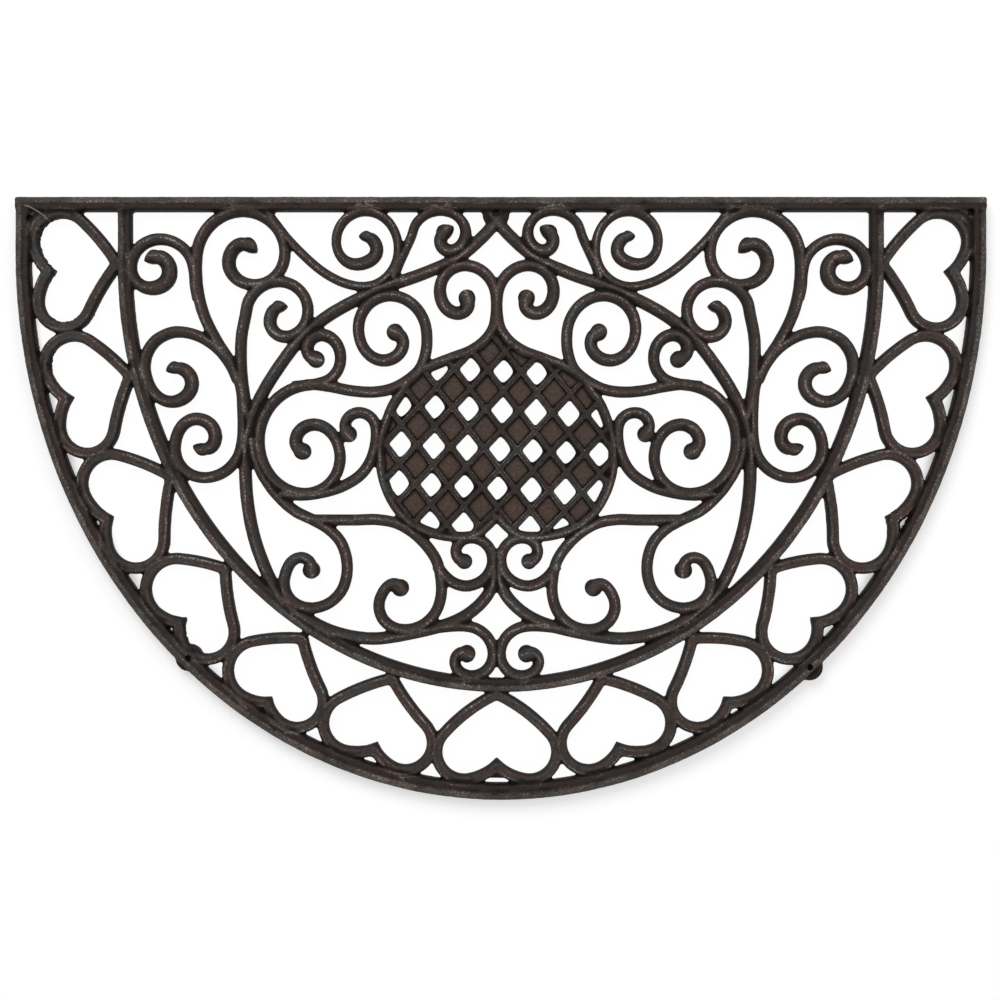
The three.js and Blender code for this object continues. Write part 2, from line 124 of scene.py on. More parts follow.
@dataclass(frozen=True)
class Volute:
    """Spiral about an eye, given by its distance from the eye at each quarter turn."""

    eye: Drawn
    start: float
    turn: int
    radii: tuple[float, ...]
    sweep: float

    def points(self) -> list[Drawn]:
        """Drawn points from the outer end to the tip.

        Returns:
            The points, each a distance from the axis and a depth, in millimetres.
        """
        out = []
        for swept in np.linspace(0.0, self.sweep, round(self.sweep / VOLUTE_STEP) + 1):
            radius = self._radius(swept / 90)
            angle = math.radians(self.start + self.turn * swept)
            out.append((self.eye[0] + radius * math.cos(angle), self.eye[1] - radius * math.sin(angle)))
        return out

    def _radius(self, position: float) -> float:
        """Smooth radius at a place along the spiral.

        Args:
            position: the place, counted in quarter turns from the start.

        Returns:
            The distance from the eye in millimetres.
        """
        last = len(self.radii) - 1
        k = min(int(position), last - 1)
        t = position - k
        a, b, c, d = (self.radii[n] for n in (max(k - 1, 0), k, k + 1, min(k + 2, last)))
        return b + 0.5 * t * (c - a + t * (2 * a - 5 * b + 4 * c - d + t * (3 * (b - c) + d - a)))


class Tip(Enum):
    """How a scroll ends: the height of its beak, as a share of the bulb's radius."""

    ROUND = 0.0
    BEAKED = 0.55


@dataclass(frozen=True)
class Scroll:
    """Scroll of the field: an optional first volute, a stem and a volute that ends it."""

    stem: tuple[Drawn, ...]
    volute: Volute
    width: float
    bulb: float
    swell: float = 0.0
    first: Volute | None = None
    first_bulb: float = 0.0
    tip: Tip = Tip.ROUND

    def line(self) -> list[Drawn]:
        """Drawn middle line from end to end."""
        begin = self.first.points()[::-1] if self.first else []
        return [*begin, *self.stem, *self.volute.points()]


@dataclass(frozen=True)
class Heart:
    """Heart of the border: tip at the inner arch, notch towards the rim, lobes as (x, depth, radius).

    The notch is filled from behind for so many millimetres along both sides. Each lobe's side leans out from
    the tip, or in where below 0, and steepens at the notch, by so many degrees.
    """

    tip: Drawn
    notch: Drawn
    lobes: tuple[tuple[float, float, float], tuple[float, float, float]]
    filled: float = 0.0
    leans: tuple[float, float] = (8.0, -7.0)
    belly: float = 18.0

    def outline(self) -> list[Drawn]:
        """Closed run of drawn points: tip, first lobe, notch, second lobe."""
        first, second = (self._lobe(lobe, math.radians(lean)) for lobe, lean in zip(self.lobes, self.leans))
        return [self.tip, *first, self.notch, *second[::-1]]

    def _lobe(self, lobe: tuple[float, float, float], lean: float) -> list[Drawn]:
        """Points of one side: a curve from the tip, the round of the lobe, a curve to the notch.

        Args:
            lobe: centre and radius of the lobe's round.
            lean: how far the side leans out at the tip, in radians.

        Returns:
            The drawn points from the tip to the notch.
        """
        centre, radius = np.array(lobe[:2]), lobe[2]
        tip, notch = np.array(self.tip), np.array(self.notch)

        def bearing(point: np.ndarray) -> float:
            """Angle of a point seen from the lobe's centre, with depth downwards."""
            return math.atan2(*(point - centre)[::-1])

        def to_tangent(point: np.ndarray) -> float:
            """Angle between a point and the tangent point of its line."""
            return math.acos(min(1.0, radius / float(np.linalg.norm(point - centre))))

        way, out = notch - tip, centre - tip
        turn = -math.copysign(1.0, way[0] * out[1] - way[1] * out[0])
        belly = math.radians(self.belly)
        begin = bearing(tip) + turn * (to_tangent(tip) + lean)
        end = bearing(notch) - turn * (to_tangent(notch) + belly)
        arc = ((end - begin) * turn) % (2 * math.pi)
        angles = begin + turn * np.linspace(0.0, arc, math.ceil(arc / LOBE_STEP) + 1)
        lobe_round = centre + radius * np.column_stack([np.cos(angles), np.sin(angles)])
        from_tip = self._eased(tip, lobe_round[0], begin, turn, -turn * lean)
        from_notch = self._eased(notch, lobe_round[-1], end, -turn, turn * belly)
        return [tuple(point) for point in (*from_tip, *lobe_round, *from_notch[::-1])]

    def _eased(self, corner: np.ndarray, meeting: np.ndarray, angle: float, turn: float,
               lean: float) -> list[np.ndarray]:
        """Points between a corner and the lobe point that a curve meets in the lobe's direction.

        Args:
            corner: where the curve begins.
            meeting: the lobe point where it ends.
            angle: bearing of that point from the lobe's centre.
            turn: 1 or -1, the way round the lobe.
            lean: how far the curve leaves the corner turned from the straight line, in radians.

        Returns:
            The points between the two ends.
        """
        run = meeting - corner
        reach = np.linalg.norm(run)
        cos, sin = math.cos(lean), math.sin(lean)
        near = corner + np.array([run[0] * cos - run[1] * sin, run[0] * sin + run[1] * cos]) / 3
        far = meeting - np.array([-math.sin(angle), math.cos(angle)]) * turn * reach / 3
        return [corner * (1 - t)**3 + near * 3 * t * (1 - t)**2 + far * 3 * t * t * (1 - t) + meeting * t**3
                for t in np.linspace(0.0, 1.0, 9)[1:-1]]


GARLAND: tuple[Drawn, ...] = (
    (0, 18), (12, 31), (30, 46), (55, 57.5), (92, 71), (128, 89.5), (150, 107.5), (169, 132),
    (182, 154), (190, 177), (193, 208), (190, 243), (182, 273), (168, 301), (137, 327), (100, 337),
    (62, 332.5), (30, 323), (14, 312), (5, 300), (2.5, 285), (2.2, 270),
)

FINE = 7.2
FULL = 8.8

SCROLLS: tuple[Scroll, ...] = (
    Scroll(((79, 62), (75, 51), (70, 40)),
           Volute((37, 30), 0, 1, (28.5, 19, 13, 10.5, 5.6, 4.4), 402), FINE, bulb=6.6, swell=3, tip=Tip.BEAKED),
    Scroll(((178, 9), (168, 22), (160, 32), (140, 51.5), (128, 60), (116, 65.5)),
           Volute((102, 40), 270, -1, (28, 26.5, 29.5, 20, 10, 10, 10.5, 10.5), 526), FINE, bulb=4.6, swell=3,
           tip=Tip.BEAKED),
    Scroll(((230, 70), (225, 90), (215, 110), (204, 127), (197, 143), (195, 161)),
           Volute((230, 186), 180, 1, (34.5, 27.5, 17, 16.8, 13.2, 5.5), 419), FULL, bulb=5.6, swell=1.6,
           first=Volute((193, 48), 0, 1, (38, 37.5, 29.7, 17.5, 12.8, 12.5, 8), 463), first_bulb=6.3,
           tip=Tip.BEAKED),
    Scroll(((190, 170), (194.5, 148), (196.5, 125), (196, 106)),
           Volute((165, 90), 0, 1, (28, 25.8, 19.8, 16, 8.2, 6.8), 430), FULL, bulb=5.2, swell=1, tip=Tip.BEAKED),
    Scroll(((54.5, 119), (59, 131), (69, 140), (81, 146.2), (95, 148.6), (112, 147.5),
            (127, 144.6)),
           Volute((143, 190), 90, -1, (47, 39.5, 35.8, 21.5, 16.2, 10.5, 2), 484), FULL, bulb=7, swell=1,
           first=Volute((84, 107), 180, -1, (30.5, 32, 21.2, 17.2, 11.3, 0.5), 392), first_bulb=6.9),
    Scroll(((156, 144.5),),
           Volute((137, 118), 270, -1, (24, 16.7, 12.8, 8, 5.7, 5.5), 345), FULL, bulb=6.9, swell=1.2),
    Scroll(((60, 133), (46, 127), (33, 122), (20, 117), (9.5, 109.5), (2.8, 100), (0.6, 90)),
           Volute((27, 78), 180, -1, (26.7, 26, 15.3, 9.8, 4.7, 3.6), 372), FULL, bulb=6.9, swell=1.6),
    Scroll(((46, 281), (40, 289), (33, 294.5)),
           Volute((24, 275), 270, -1, (22, 20.7, 14, 6, 3, 3), 350), FULL, bulb=6.3),
    Scroll(((140, 246.5), (108, 246.5), (92, 246.2), (77, 249), (64.5, 256), (53.5, 266.5),
            (46, 278), (43, 290)),
           Volute((77, 304), 180, 1, (34.4, 25.5, 11.3, 8.6, 2.5), 300), FULL, bulb=7),
    Scroll(((187, 184), (186, 196), (181.5, 208), (175, 219), (167, 229), (155, 239.5),
            (141, 246.5), (129, 253.5), (120, 263), (115.5, 275)),
           Volute((149, 288), 180, 1, (34, 25, 13.3, 12.7, 6.2, 5.5), 335), FULL, bulb=7),
    Scroll(((166, 226), (150, 227.5), (134, 225.5), (118, 220.5), (104, 211.5), (96.3, 200),
            (92.8, 187)),
           Volute((107, 177), 180, -1, (14.5, 12.5, 9, 5), 210), FULL, bulb=6.8),
    Scroll(((229.5, 78), (231.5, 68)),
           Volute((262, 57), 180, -1, (29.5, 25, 19, 11.7, 10.3, 11.7, 9), 455), FULL, bulb=6.1, swell=3.2,
           tip=Tip.BEAKED),
    Scroll(((199, 140), (204, 129), (213, 117), (225, 108), (237, 103.5)),
           Volute((249, 141), 90, -1, (38, 19.5, 15, 14.5, 10.8, 9), 350), FULL, bulb=5.4, swell=1.8, tip=Tip.BEAKED),
    Scroll(((60, 332), (42, 328.5)),
           Volute((24, 352), 90, 1, (24.3, 21, 13, 7.5, 4, 3.2), 380), FULL, bulb=7),
)

SIDE_HEARTS: tuple[Heart, ...] = (
    Heart((292, 51), (345, 57), ((335, 33.5, 22), (333, 79.5, 20.3))),
    Heart((282, 136.8), (331.5, 154), ((325.8, 128, 22.4), (315.5, 174.3, 21.3))),
    Heart((250, 213.5), (300, 246), ((297, 218.5, 22.4), (278, 261, 22.4))),
    Heart((208.5, 284), (243.5, 325), ((246.5, 299.5, 23.5), (222.5, 332, 21))),
    Heart((149, 337), (176, 386), ((183.7, 361.7, 22.8), (153.5, 385, 20.5)), 9),
    Heart((80, 367.5), (93.5, 421.5), ((111.5, 402, 21.5), (70, 417, 20.8)), 11),
)
FRONT_HEART = Heart((0, 379.5), (0, 434), ((25, 424, 21), (-25, 424, 21)), 15, leans=(12, 12))

RING: tuple[Drawn, ...] = (
    (33, 122), (46, 127), (57, 132.5), (65.5, 139.5), (72.5, 148.5), (79.5, 159), (84.5, 171.5),
    (88, 185), (89, 199), (87, 214), (82, 228), (74.5, 240), (63.5, 250), (49, 256.5), (32, 259.3),
    (17, 258), (8, 251.5), (0, 243),
)
RING_TOP: tuple[Drawn, ...] = ((0, 99), (10, 110.5), (20, 117))

FEET: dict[str, Drawn] = {
    "rubber_foot_left_corner": (-359, 16.5),
    "rubber_foot_right_corner": (357.7, 12),
    "rubber_foot_straight_edge": (-3.8, 12.8),
    "rubber_foot_front_left": (-237.8, 351.5),
    "rubber_foot_front_right": (235.2, 358.5),
}


class Profile(Enum):
    """Cross-section of a strand as (share of the half width, share of the height), right side."""

    RIDGED = ((1.0, 0.0), (0.985, 0.34), (0.94, 0.56), (0.86, 0.66), (0.5, 0.83), (0.13, 1.0), (0.0, 1.0))
    FLAT = ((1.0, 0.0), (0.985, 0.45), (0.93, 0.72), (0.8, 0.9), (0.6, 1.0), (0.3, 0.965), (0.0, 0.955))
    HEART = ((1.0, 0.0), (0.985, 0.34), (0.93, 0.6), (0.75, 0.84), (0.48, 1.0), (0.2, 0.95), (0.0, 0.93))
    RIB = ((1.0, 0.0), (0.87, 0.38), (0.7, 0.78), (0.5, 0.98), (0.25, 1.0), (0.0, 0.98))

    def section(self) -> np.ndarray:
        """Whole section, right side up over the crest and down the left side.

        Returns:
            Rows of (share of the half width, share of the height).
        """
        right = np.array(self.value)
        left = right[:-1][::-1] * (-1.0, 1.0)
        return np.vstack([right, left])


def select_only(*objects: Piece) -> None:
    """Leave just these objects selected, the first of them active.

    Args:
        objects: the objects, the first of which becomes active.
    """
    bpy.ops.object.select_all(action="DESELECT")
    for item in objects:
        item.select_set(True)
    bpy.context.view_layer.objects.active = objects[0]


def apply_modifier(piece: Piece, kind: str, **settings: object) -> None:
    """Add a modifier with its settings and apply it.

    Args:
        piece: the piece that gets it.
        kind: type of the modifier.
        settings: its properties by their names.
    """
    select_only(piece)
    modifier = piece.modifiers.new(kind.lower(), kind)
    for name, value in settings.items():
        setattr(modifier, name, value)
    bpy.ops.object.modifier_apply(modifier=modifier.name)


def join_pieces(pieces: list[Piece], name: str) -> Piece:
    """Join pieces into the first of them and name it.

    Args:
        pieces: the pieces, of which the first stays.
        name: name of the whole.

    Returns:
        The joined piece.
    """
    select_only(*pieces)
    bpy.ops.object.join()
    whole = bpy.context.view_layer.objects.active
    whole.name = whole.data.name = name
    return whole


def set_place(piece: Piece) -> Piece:
    """Move a piece's place into its mesh, so that its object sits at the origin.

    Args:
        piece: the piece.

    Returns:
        The same piece.
    """
    select_only(piece)
    bpy.ops.object.transform_apply(location=True, rotation=True, scale=True)
    return piece


def copy_to(model: Piece, shift: tuple[float, float, float], scale: float = 1.0,
            turn: float = 0.0) -> Piece:
    """Copy a piece modelled about the origin.

    Args:
        model: the piece that is copied.
        shift: where the copy goes, in millimetres.
        scale: its size across, as a share of the model's.
        turn: how far it is turned to the left, in radians.

    Returns:
        The copy, with its own mesh.
    """
    select_only(model)
    bpy.ops.object.duplicate(linked=False)
    copy = bpy.context.view_layer.objects.active
    copy.scale = (scale, scale, 1.0)
    copy.rotation_euler[2] = turn
    copy.location = Vector(shift) * MM
    return set_place(copy)


def cylinder(vertices: int, radius: float, bottom: float, height: float) -> Piece:
    """Start of a round piece: an upright cylinder at the origin, sized in millimetres.

    Args:
        vertices: corners round it.
        radius: its radius.
        bottom: height of its lower end.
        height: distance between its ends.

    Returns:
        The cylinder.
    """
    bpy.ops.object.select_all(action="DESELECT")
    bpy.ops.mesh.primitive_cylinder_add(
        vertices=vertices, radius=radius * MM, depth=height * MM, location=(0, 0, (bottom + height / 2) * MM))
    return set_place(bpy.context.object)


def select_facing(piece: Piece, way: int) -> None:
    """In edit mode, select the faces that look straight up, for 1, or down, for -1.

    Args:
        piece: the piece in edit mode.
        way: 1 for up or -1 for down.
    """
    bpy.ops.mesh.select_all(action="DESELECT")
    body = bmesh.from_edit_mesh(piece.data)
    for face in body.faces:
        face.select_set(face.normal.z * way > 0.9)
    bmesh.update_edit_mesh(piece.data)


def copies_at_feet(model: Piece) -> dict[str, Piece]:
    """Copy a model to the place of every foot and remove it.

    Args:
        model: the piece that is copied.

    Returns:
        The copies by the name of the foot's node.
    """
    copies = {name: copy_to(model, (*place(spot), 0.0)) for name, spot in FEET.items()}
    bpy.data.objects.remove(model)
    return copies


def read_vectors(values: bpy.types.bpy_prop_collection, name: str) -> np.ndarray:
    """Vectors of a mesh's elements as rows.

    Args:
        values: the elements, such as vertices.
        name: the property that is read.

    Returns:
        The vectors, a row for each element.
    """
    flat = np.empty(len(values) * 3)
    values.foreach_get(name, flat)
    return flat.reshape(-1, 3)


def slab(outline: np.ndarray, height: float) -> Piece:
    """Flat plate of an outline.

    Args:
        outline: rows of x, y in millimetres.
        height: how far it rises from the underside in millimetres.

    Returns:
        The plate.
    """
    bpy.ops.object.select_all(action="DESELECT")
    bpy.ops.mesh.primitive_circle_add(vertices=len(outline), radius=1.0, fill_type="NGON")
    plate = bpy.context.object
    for vertex, (x, y) in zip(plate.data.vertices, outline):
        vertex.co = Vector((x, y, UNDERSIDE)) * MM
    bpy.ops.object.mode_set(mode="EDIT")
    bpy.ops.mesh.select_all(action="SELECT")
    bpy.ops.mesh.extrude_region_move(TRANSFORM_OT_translate={"value": (0, 0, height * MM)})
    bpy.ops.mesh.select_all(action="SELECT")
    bpy.ops.mesh.normals_make_consistent(inside=False)
    bpy.ops.object.mode_set(mode="OBJECT")
    return plate


@dataclass
class StrandShop:
    """Rolls flat sheets into the strands of the casting."""

    step: float = 1.8
    ridge_lean: float = 0.16
    bend_reach: int = 7
    full_bend: float = 0.025
    sharpest_bend: float = 0.15
    narrowest_mitre: float = 0.4
    tracks: list[tuple[np.ndarray, np.ndarray, np.ndarray, Profile]] = field(default_factory=list)

    def marks_at(self, spots: np.ndarray) -> tuple[np.ndarray, np.ndarray]:
        """Where each spot lies across its nearest strand.

        Args:
            spots: rows of x, y in millimetres.

        Returns:
            Shares of the half width from the middle, above 0 on the outer side of the bend, and each
            strand's place in the list of profiles.
        """
        centres, outward, sizes = (np.concatenate([track[k] for track in self.tracks]) for k in range(3))
        kinds = list(Profile)
        kind = np.concatenate([np.full(len(track[0]), kinds.index(track[3])) for track in self.tracks])
        tree = KDTree(len(centres))
        for n, (x, y) in enumerate(centres):
            tree.insert((x, y, 0.0), n)
        tree.balance()
        index = np.array([tree.find((x, y, 0.0))[1] for x, y in spots])
        across = ((spots - centres[index]) * outward[index]).sum(1) / sizes[index]
        return across, kind[index]

    def smooth_line(self, points: np.ndarray) -> np.ndarray:
        """Points at an even step along the smooth curve through given points.

        Args:
            points: rows of x, y in millimetres.

        Returns:
            Rows of x, y in millimetres.
        """
        ends = (2 * points[0] - points[1], 2 * points[-1] - points[-2])
        p = np.vstack([ends[0], points, ends[1]])
        fine = []
        for k in range(1, len(p) - 2):
            p0, p1, p2, p3 = p[k - 1:k + 3]
            d0, d1, d2 = (max(np.linalg.norm(b - a), 1e-6) ** 0.5 for a, b in ((p0, p1), (p1, p2), (p2, p3)))
            t1 = ((p1 - p0) / d0 - (p2 - p0) / (d0 + d1) + (p2 - p1) / d1) * d1
            t2 = ((p2 - p1) / d1 - (p3 - p1) / (d1 + d2) + (p3 - p2) / d2) * d1
            t = np.linspace(0.0, 1.0, 24, endpoint=False)[:, None]
            fine.append(p1 * (2 * t**3 - 3 * t**2 + 1) + p2 * (3 * t**2 - 2 * t**3)
                        + t1 * (t**3 - 2 * t**2 + t) + t2 * (t**3 - t**2))
        return self.even(np.vstack([*fine, points[-1:]]))

    def even(self, line: np.ndarray) -> np.ndarray:
        """The same line with points at an even step.

        Args:
            line: rows of x, y in millimetres.

        Returns:
            Rows of x, y in millimetres.
        """
        along = np.concatenate([[0.0], np.cumsum(np.linalg.norm(np.diff(line, axis=0), axis=1))])
        at = np.linspace(0.0, along[-1], max(2, round(along[-1] / self.step)) + 1)
        return np.column_stack([np.interp(at, along, line[:, k]) for k in range(2)])

    def roll(self, name: str, line: np.ndarray, widths: np.ndarray, height: float, profile: Profile,
             looped: bool = False, outer: float = 0.0) -> Piece:
        """Roll a flat grid into a closed strand along a line, its crest leaning to the outer side of each bend.

        Args:
            name: name of the new object.
            line: rows of x, y in millimetres.
            widths: width at each point in millimetres.
            height: height of the crest above the underside in millimetres.
            profile: cross-section.
            looped: True where the line closes on itself.
            outer: side that counts as the outer one all along, 1 right or -1 left, or 0 to go by the bends.

        Returns:
            The strand.
        """
        sides = np.full(len(line), outer) if outer else self._outer(line, looped)
        unit = self._right(line, looped)
        self.tracks.append((line, unit * np.sign(sides + 1e-9)[:, None], widths / 2, profile))
        section = profile.section()
        right = unit * (widths / 2)[:, None]
        lean = self.ridge_lean * sides[:, None] * section[None, :, 1] ** 3 * (profile is Profile.RIDGED)
        xy = line[:, None, :] + right[:, None, :] * (section[None, :, 0] + lean)[..., None]
        z = np.broadcast_to(UNDERSIDE + height * section[:, 1], xy.shape[:2])
        rings = np.concatenate([xy, z[..., None]], axis=2)
        rings = np.concatenate([rings, rings[:, :1]], axis=1)
        if looped:
            rings = np.concatenate([rings, rings[:1]], axis=0)
        bpy.ops.object.select_all(action="DESELECT")
        bpy.ops.mesh.primitive_grid_add(x_subdivisions=rings.shape[1] - 1, y_subdivisions=rings.shape[0] - 1)
        strand = bpy.context.object
        strand.name = strand.data.name = name
        strand.data.vertices.foreach_set("co", (rings * MM).ravel())
        bpy.ops.object.mode_set(mode="EDIT")
        bpy.ops.mesh.select_all(action="SELECT")
        bpy.ops.mesh.remove_doubles(threshold=WELD * MM)
        bpy.ops.mesh.fill_holes(sides=0)
        bpy.ops.mesh.select_all(action="SELECT")
        bpy.ops.mesh.normals_make_consistent(inside=False)
        bpy.ops.object.mode_set(mode="OBJECT")
        return strand

    def _outer(self, line: np.ndarray, looped: bool) -> np.ndarray:
        """Outer side of the bend at each point, from 1 on the right to -1 on the left.

        Args:
            line: rows of x, y in millimetres.
            looped: True where the line closes on itself.

        Returns:
            A number for each point, 0 where the line is straight.
        """
        run = np.diff(line, axis=0, append=line[:1] if looped else 2 * line[-1:] - line[-2:-1])
        run /= np.maximum(np.linalg.norm(run, axis=1), 1e-9)[:, None]
        last = np.roll(run, 1, axis=0)
        turn = last[:, 0] * run[:, 1] - last[:, 1] * run[:, 0]
        if not looped:
            turn[0] = 0.0
        turn = np.clip(turn, -self.sharpest_bend, self.sharpest_bend)
        padded = np.pad(turn, self.bend_reach, mode="wrap" if looped else "edge")
        count = 2 * self.bend_reach + 1
        return np.clip(np.convolve(padded, np.full(count, 1 / count), "valid") / self.full_bend, -1, 1)

    def _right(self, line: np.ndarray, looped: bool) -> np.ndarray:
        """Direction to the right of the line at each point, lengthened at mitres.

        Args:
            line: rows of x, y in millimetres.
            looped: True where the line closes on itself.

        Returns:
            Rows of x, y, longer than 1 only at mitres.
        """
        if looped:
            before, after = line - np.roll(line, 1, axis=0), np.roll(line, -1, axis=0) - line
        else:
            before = np.diff(line, axis=0, prepend=2 * line[:1] - line[1:2])
            after = np.diff(line, axis=0, append=2 * line[-1:] - line[-2:-1])
        before = before / np.linalg.norm(before, axis=1)[:, None]
        after = after / np.linalg.norm(after, axis=1)[:, None]
        along = before + after
        along /= np.linalg.norm(along, axis=1)[:, None]
        mitre = 1.0 / np.maximum((along * after).sum(1), self.narrowest_mitre)
        return np.column_stack([along[:, 1], -along[:, 0]]) * mitre[:, None]


@dataclass
class Rim:
    """Straight bar and arch round the mat, and the inner arch that parts field and border."""

    shop: StrandShop
    width: float = 11.0
    front_width: float = 13.0
    side: float = 43.0
    inner_span: float = 574.0
    inner_reach: float = 372.5
    inner_side: float = 52.0
    inner_width: float = 11.0
    bar_inset: float = 0.4
    web_height: float = 8.8

    def build(self) -> list[Piece]:
        """Make the bar, the arch of the rim and the inner arch.

        Returns:
            The three strands.
        """
        arch = self._arch_line(MAT_WIDTH - self.width, MAT_DEPTH - self.front_width / 2, self.side)
        share = np.sin(np.pi * np.linspace(0.0, 1.0, len(arch))) ** 4
        widths = self.width + (self.front_width - self.width) * share
        y = MAT_DEPTH / 2 - self.width / 2
        reach = MAT_WIDTH / 2 - self.bar_inset
        bar = self.shop.even(np.array([(-reach, y), (reach, y)]))
        inner = self._arch_line(self.inner_span, self.inner_reach, self.inner_side)
        return [
            self.shop.roll("rim_arch", arch, widths, RIM_HEIGHT, Profile.FLAT, outer=-1),
            self.shop.roll("rim_bar", bar, np.full(len(bar), self.width), RIM_HEIGHT, Profile.FLAT, outer=-1),
            self.shop.roll("inner_arch", inner, np.full(len(inner), self.inner_width), STRAND_HEIGHT, Profile.FLAT,
                           outer=-1),
        ]

    def corner_webs(self) -> list[Piece]:
        """Flat webs that fill the corners of the rim as far as the first heart's outer lobe.

        Returns:
            The web of each half.
        """
        x, depth, radius = SIDE_HEARTS[0].lobes[0]
        middle = self.width / 2
        edge = MAT_WIDTH / 2 - middle
        drawn = [(x, middle), (edge, middle), (edge, depth + radius / 2)]
        drawn += [(x + radius * math.cos(a), depth - radius * math.sin(a))
                  for a in np.radians(np.linspace(-30.0, 90.0, 13))]
        return [slab(np.array([place(point, half) for point in drawn]), self.web_height) for half in Half]

    def _arch_line(self, span: float, reach: float, side: float) -> np.ndarray:
        """Straight sides down from the bar, closed by half an ellipse, in millimetres.

        Args:
            span: width of the arch.
            reach: distance from the straight edge to its front.
            side: length of its straight sides.

        Returns:
            Rows of x, y at an even step.
        """
        arch = [(span / 2 * math.cos(a), side + (reach - side) * math.sin(a))
                for a in np.linspace(0.0, math.pi, 181)]
        ends = [(span / 2, self.width / 2), (span / 2, side / 2)]
        drawn = [*ends, *arch, *[(-x, depth) for x, depth in ends[::-1]]]
        return self.shop.even(np.array([place(point) for point in drawn]))


@dataclass
class Ornament:
    """Garland, scrolls and hearts."""

    shop: StrandShop
    garland_width: float = 9.6
    heart_width: float = 9.0
    ring_width: float = 8.0
    swell_length: float = 60.0
    swell_rise: float = 0.6
    taper_length: float = 7.0
    tapered_by: float = 0.3
    beak_turn: float = math.radians(35)
    beak_spread: float = 1.2
    web_sink: float = 1.5
    web_search: int = 60
    dome_steps: tuple[tuple[float, float], ...] = ((0.12, 0.14), (0.2, 0.065), (0.22, 0.05), (0.22, 0.025))
    bulb_shares: dict[Tip, float] = field(default_factory=lambda: {Tip.ROUND: 0.95, Tip.BEAKED: 0.88})

    def build(self) -> list[Piece]:
        """Make every strand of the ornament, both halves.

        Returns:
            The strands and the bulbs that end the scrolls.
        """
        knobs = {tip: self._knob(tip) for tip in Tip}
        pieces = self._heart(FRONT_HEART, Half.RIGHT)
        for half in Half:
            pieces.append(self._plain(GARLAND, self.garland_width, half))
            pieces.append(self._plain(RING, self.ring_width, half))
            for scroll in SCROLLS:
                pieces.extend(self._scroll(scroll, half, knobs[scroll.tip]))
            for heart in SIDE_HEARTS:
                pieces.extend(self._heart(heart, half))
        for knob in knobs.values():
            bpy.data.objects.remove(knob)
        return pieces

    def _plain(self, drawn: tuple[Drawn, ...], width: float, half: Half) -> Piece:
        """Strand of one width along drawn points."""
        line = self.shop.smooth_line(drawn_line(drawn, half))
        return self.shop.roll("strand", line, np.full(len(line), width), STRAND_HEIGHT, Profile.RIDGED)

    def _scroll(self, scroll: Scroll, half: Half, knob: Piece) -> list[Piece]:
        """Scroll that swells towards its tips, each finished by a bulb, round or beaked.

        Args:
            scroll: the scroll as drawn.
            half: which half of the mat.
            knob: the bulb that is copied.

        Returns:
            The strand and its bulbs.
        """
        line = self.shop.smooth_line(drawn_line(scroll.line(), half))
        along = np.linspace(0.0, 1.0, len(line)) * np.linalg.norm(np.diff(line, axis=0), axis=1).sum()
        to_tip = along[-1] - along
        if scroll.first:
            to_tip = np.minimum(along, to_tip)
        share = np.clip((self.swell_length - to_tip) / (self.swell_rise * self.swell_length), 0, 1)
        widths = scroll.width + scroll.swell * share * share * (3 - 2 * share)
        if scroll.tip is Tip.BEAKED:
            widths *= 1 - self.tapered_by * np.clip(1 - to_tip / self.taper_length, 0, 1) ** 2
        pieces = [self.shop.roll("scroll", line, widths, STRAND_HEIGHT, Profile.RIDGED)]
        for tail, radius in ((line[::-1], scroll.first_bulb), (line, scroll.bulb)):
            if radius:
                size = radius * self.bulb_shares[scroll.tip]
                pieces.append(copy_to(knob, (*tail[-1], 0.0), size, self._beak(tail)))
        return pieces

    def _beak(self, tail: np.ndarray) -> float:
        """Bearing of a tip's beak, ahead and to the inside of the curl.

        Args:
            tail: points of the strand, the tip last.

        Returns:
            The bearing in radians.
        """
        ahead, before = tail[-1] - tail[-4], tail[-4] - tail[-7]
        bend = before[0] * ahead[1] - before[1] * ahead[0]
        return math.atan2(ahead[1], ahead[0]) + math.copysign(self.beak_turn, bend)

    def _knob(self, tip: Tip) -> Piece:
        """Domed knob a millimetre in radius, any beak to the right, which the bulbs are copied from.

        Args:
            tip: how the bulb ends.

        Returns:
            The knob at the origin.
        """
        knob = cylinder(24, 1.0, UNDERSIDE, STRAND_HEIGHT)
        bpy.ops.object.mode_set(mode="EDIT")
        select_facing(knob, 1)
        for inset, rise in self.dome_steps:
            bpy.ops.mesh.inset(thickness=inset * MM)
            bpy.ops.transform.translate(value=(0, 0, rise * STRAND_HEIGHT * MM))
        bpy.ops.object.mode_set(mode="OBJECT")
        top = max(vertex.co.z for vertex in knob.data.vertices)
        shrink = STRAND_HEIGHT * MM / (top - UNDERSIDE * MM)
        for vertex in knob.data.vertices:
            vertex.co.z = UNDERSIDE * MM + (vertex.co.z - UNDERSIDE * MM) * shrink
            bearing = math.atan2(vertex.co.y, vertex.co.x)
            vertex.co.xy *= 1 + tip.value * max(0.0, 1 - abs(bearing) / self.beak_spread) ** 2
        return knob

    def _heart(self, heart: Heart, half: Half) -> list[Piece]:
        """Heart as one mitred loop, with the web behind its notch.

        Args:
            heart: the heart as drawn.
            half: which half of the mat.

        Returns:
            The loop, and the web where it has one.
        """
        line = drawn_line(heart.outline(), half)
        pieces = [self.shop.roll("heart", line, np.full(len(line), self.heart_width), STRAND_HEIGHT,
                                 Profile.HEART, looped=True)]
        if heart.filled:
            notch = place_ornament(heart.notch, half)
            gaps = np.linalg.norm(line - notch, axis=1)
            at = int(np.argmin(gaps))
            sides = [next(line[n % len(line)] for n in range(at, at + way * self.web_search, way)
                          if gaps[n % len(line)] > heart.filled) for way in (1, -1)]
            pieces.append(slab(np.array([notch, *sides]), STRAND_HEIGHT - self.web_sink))
        return pieces


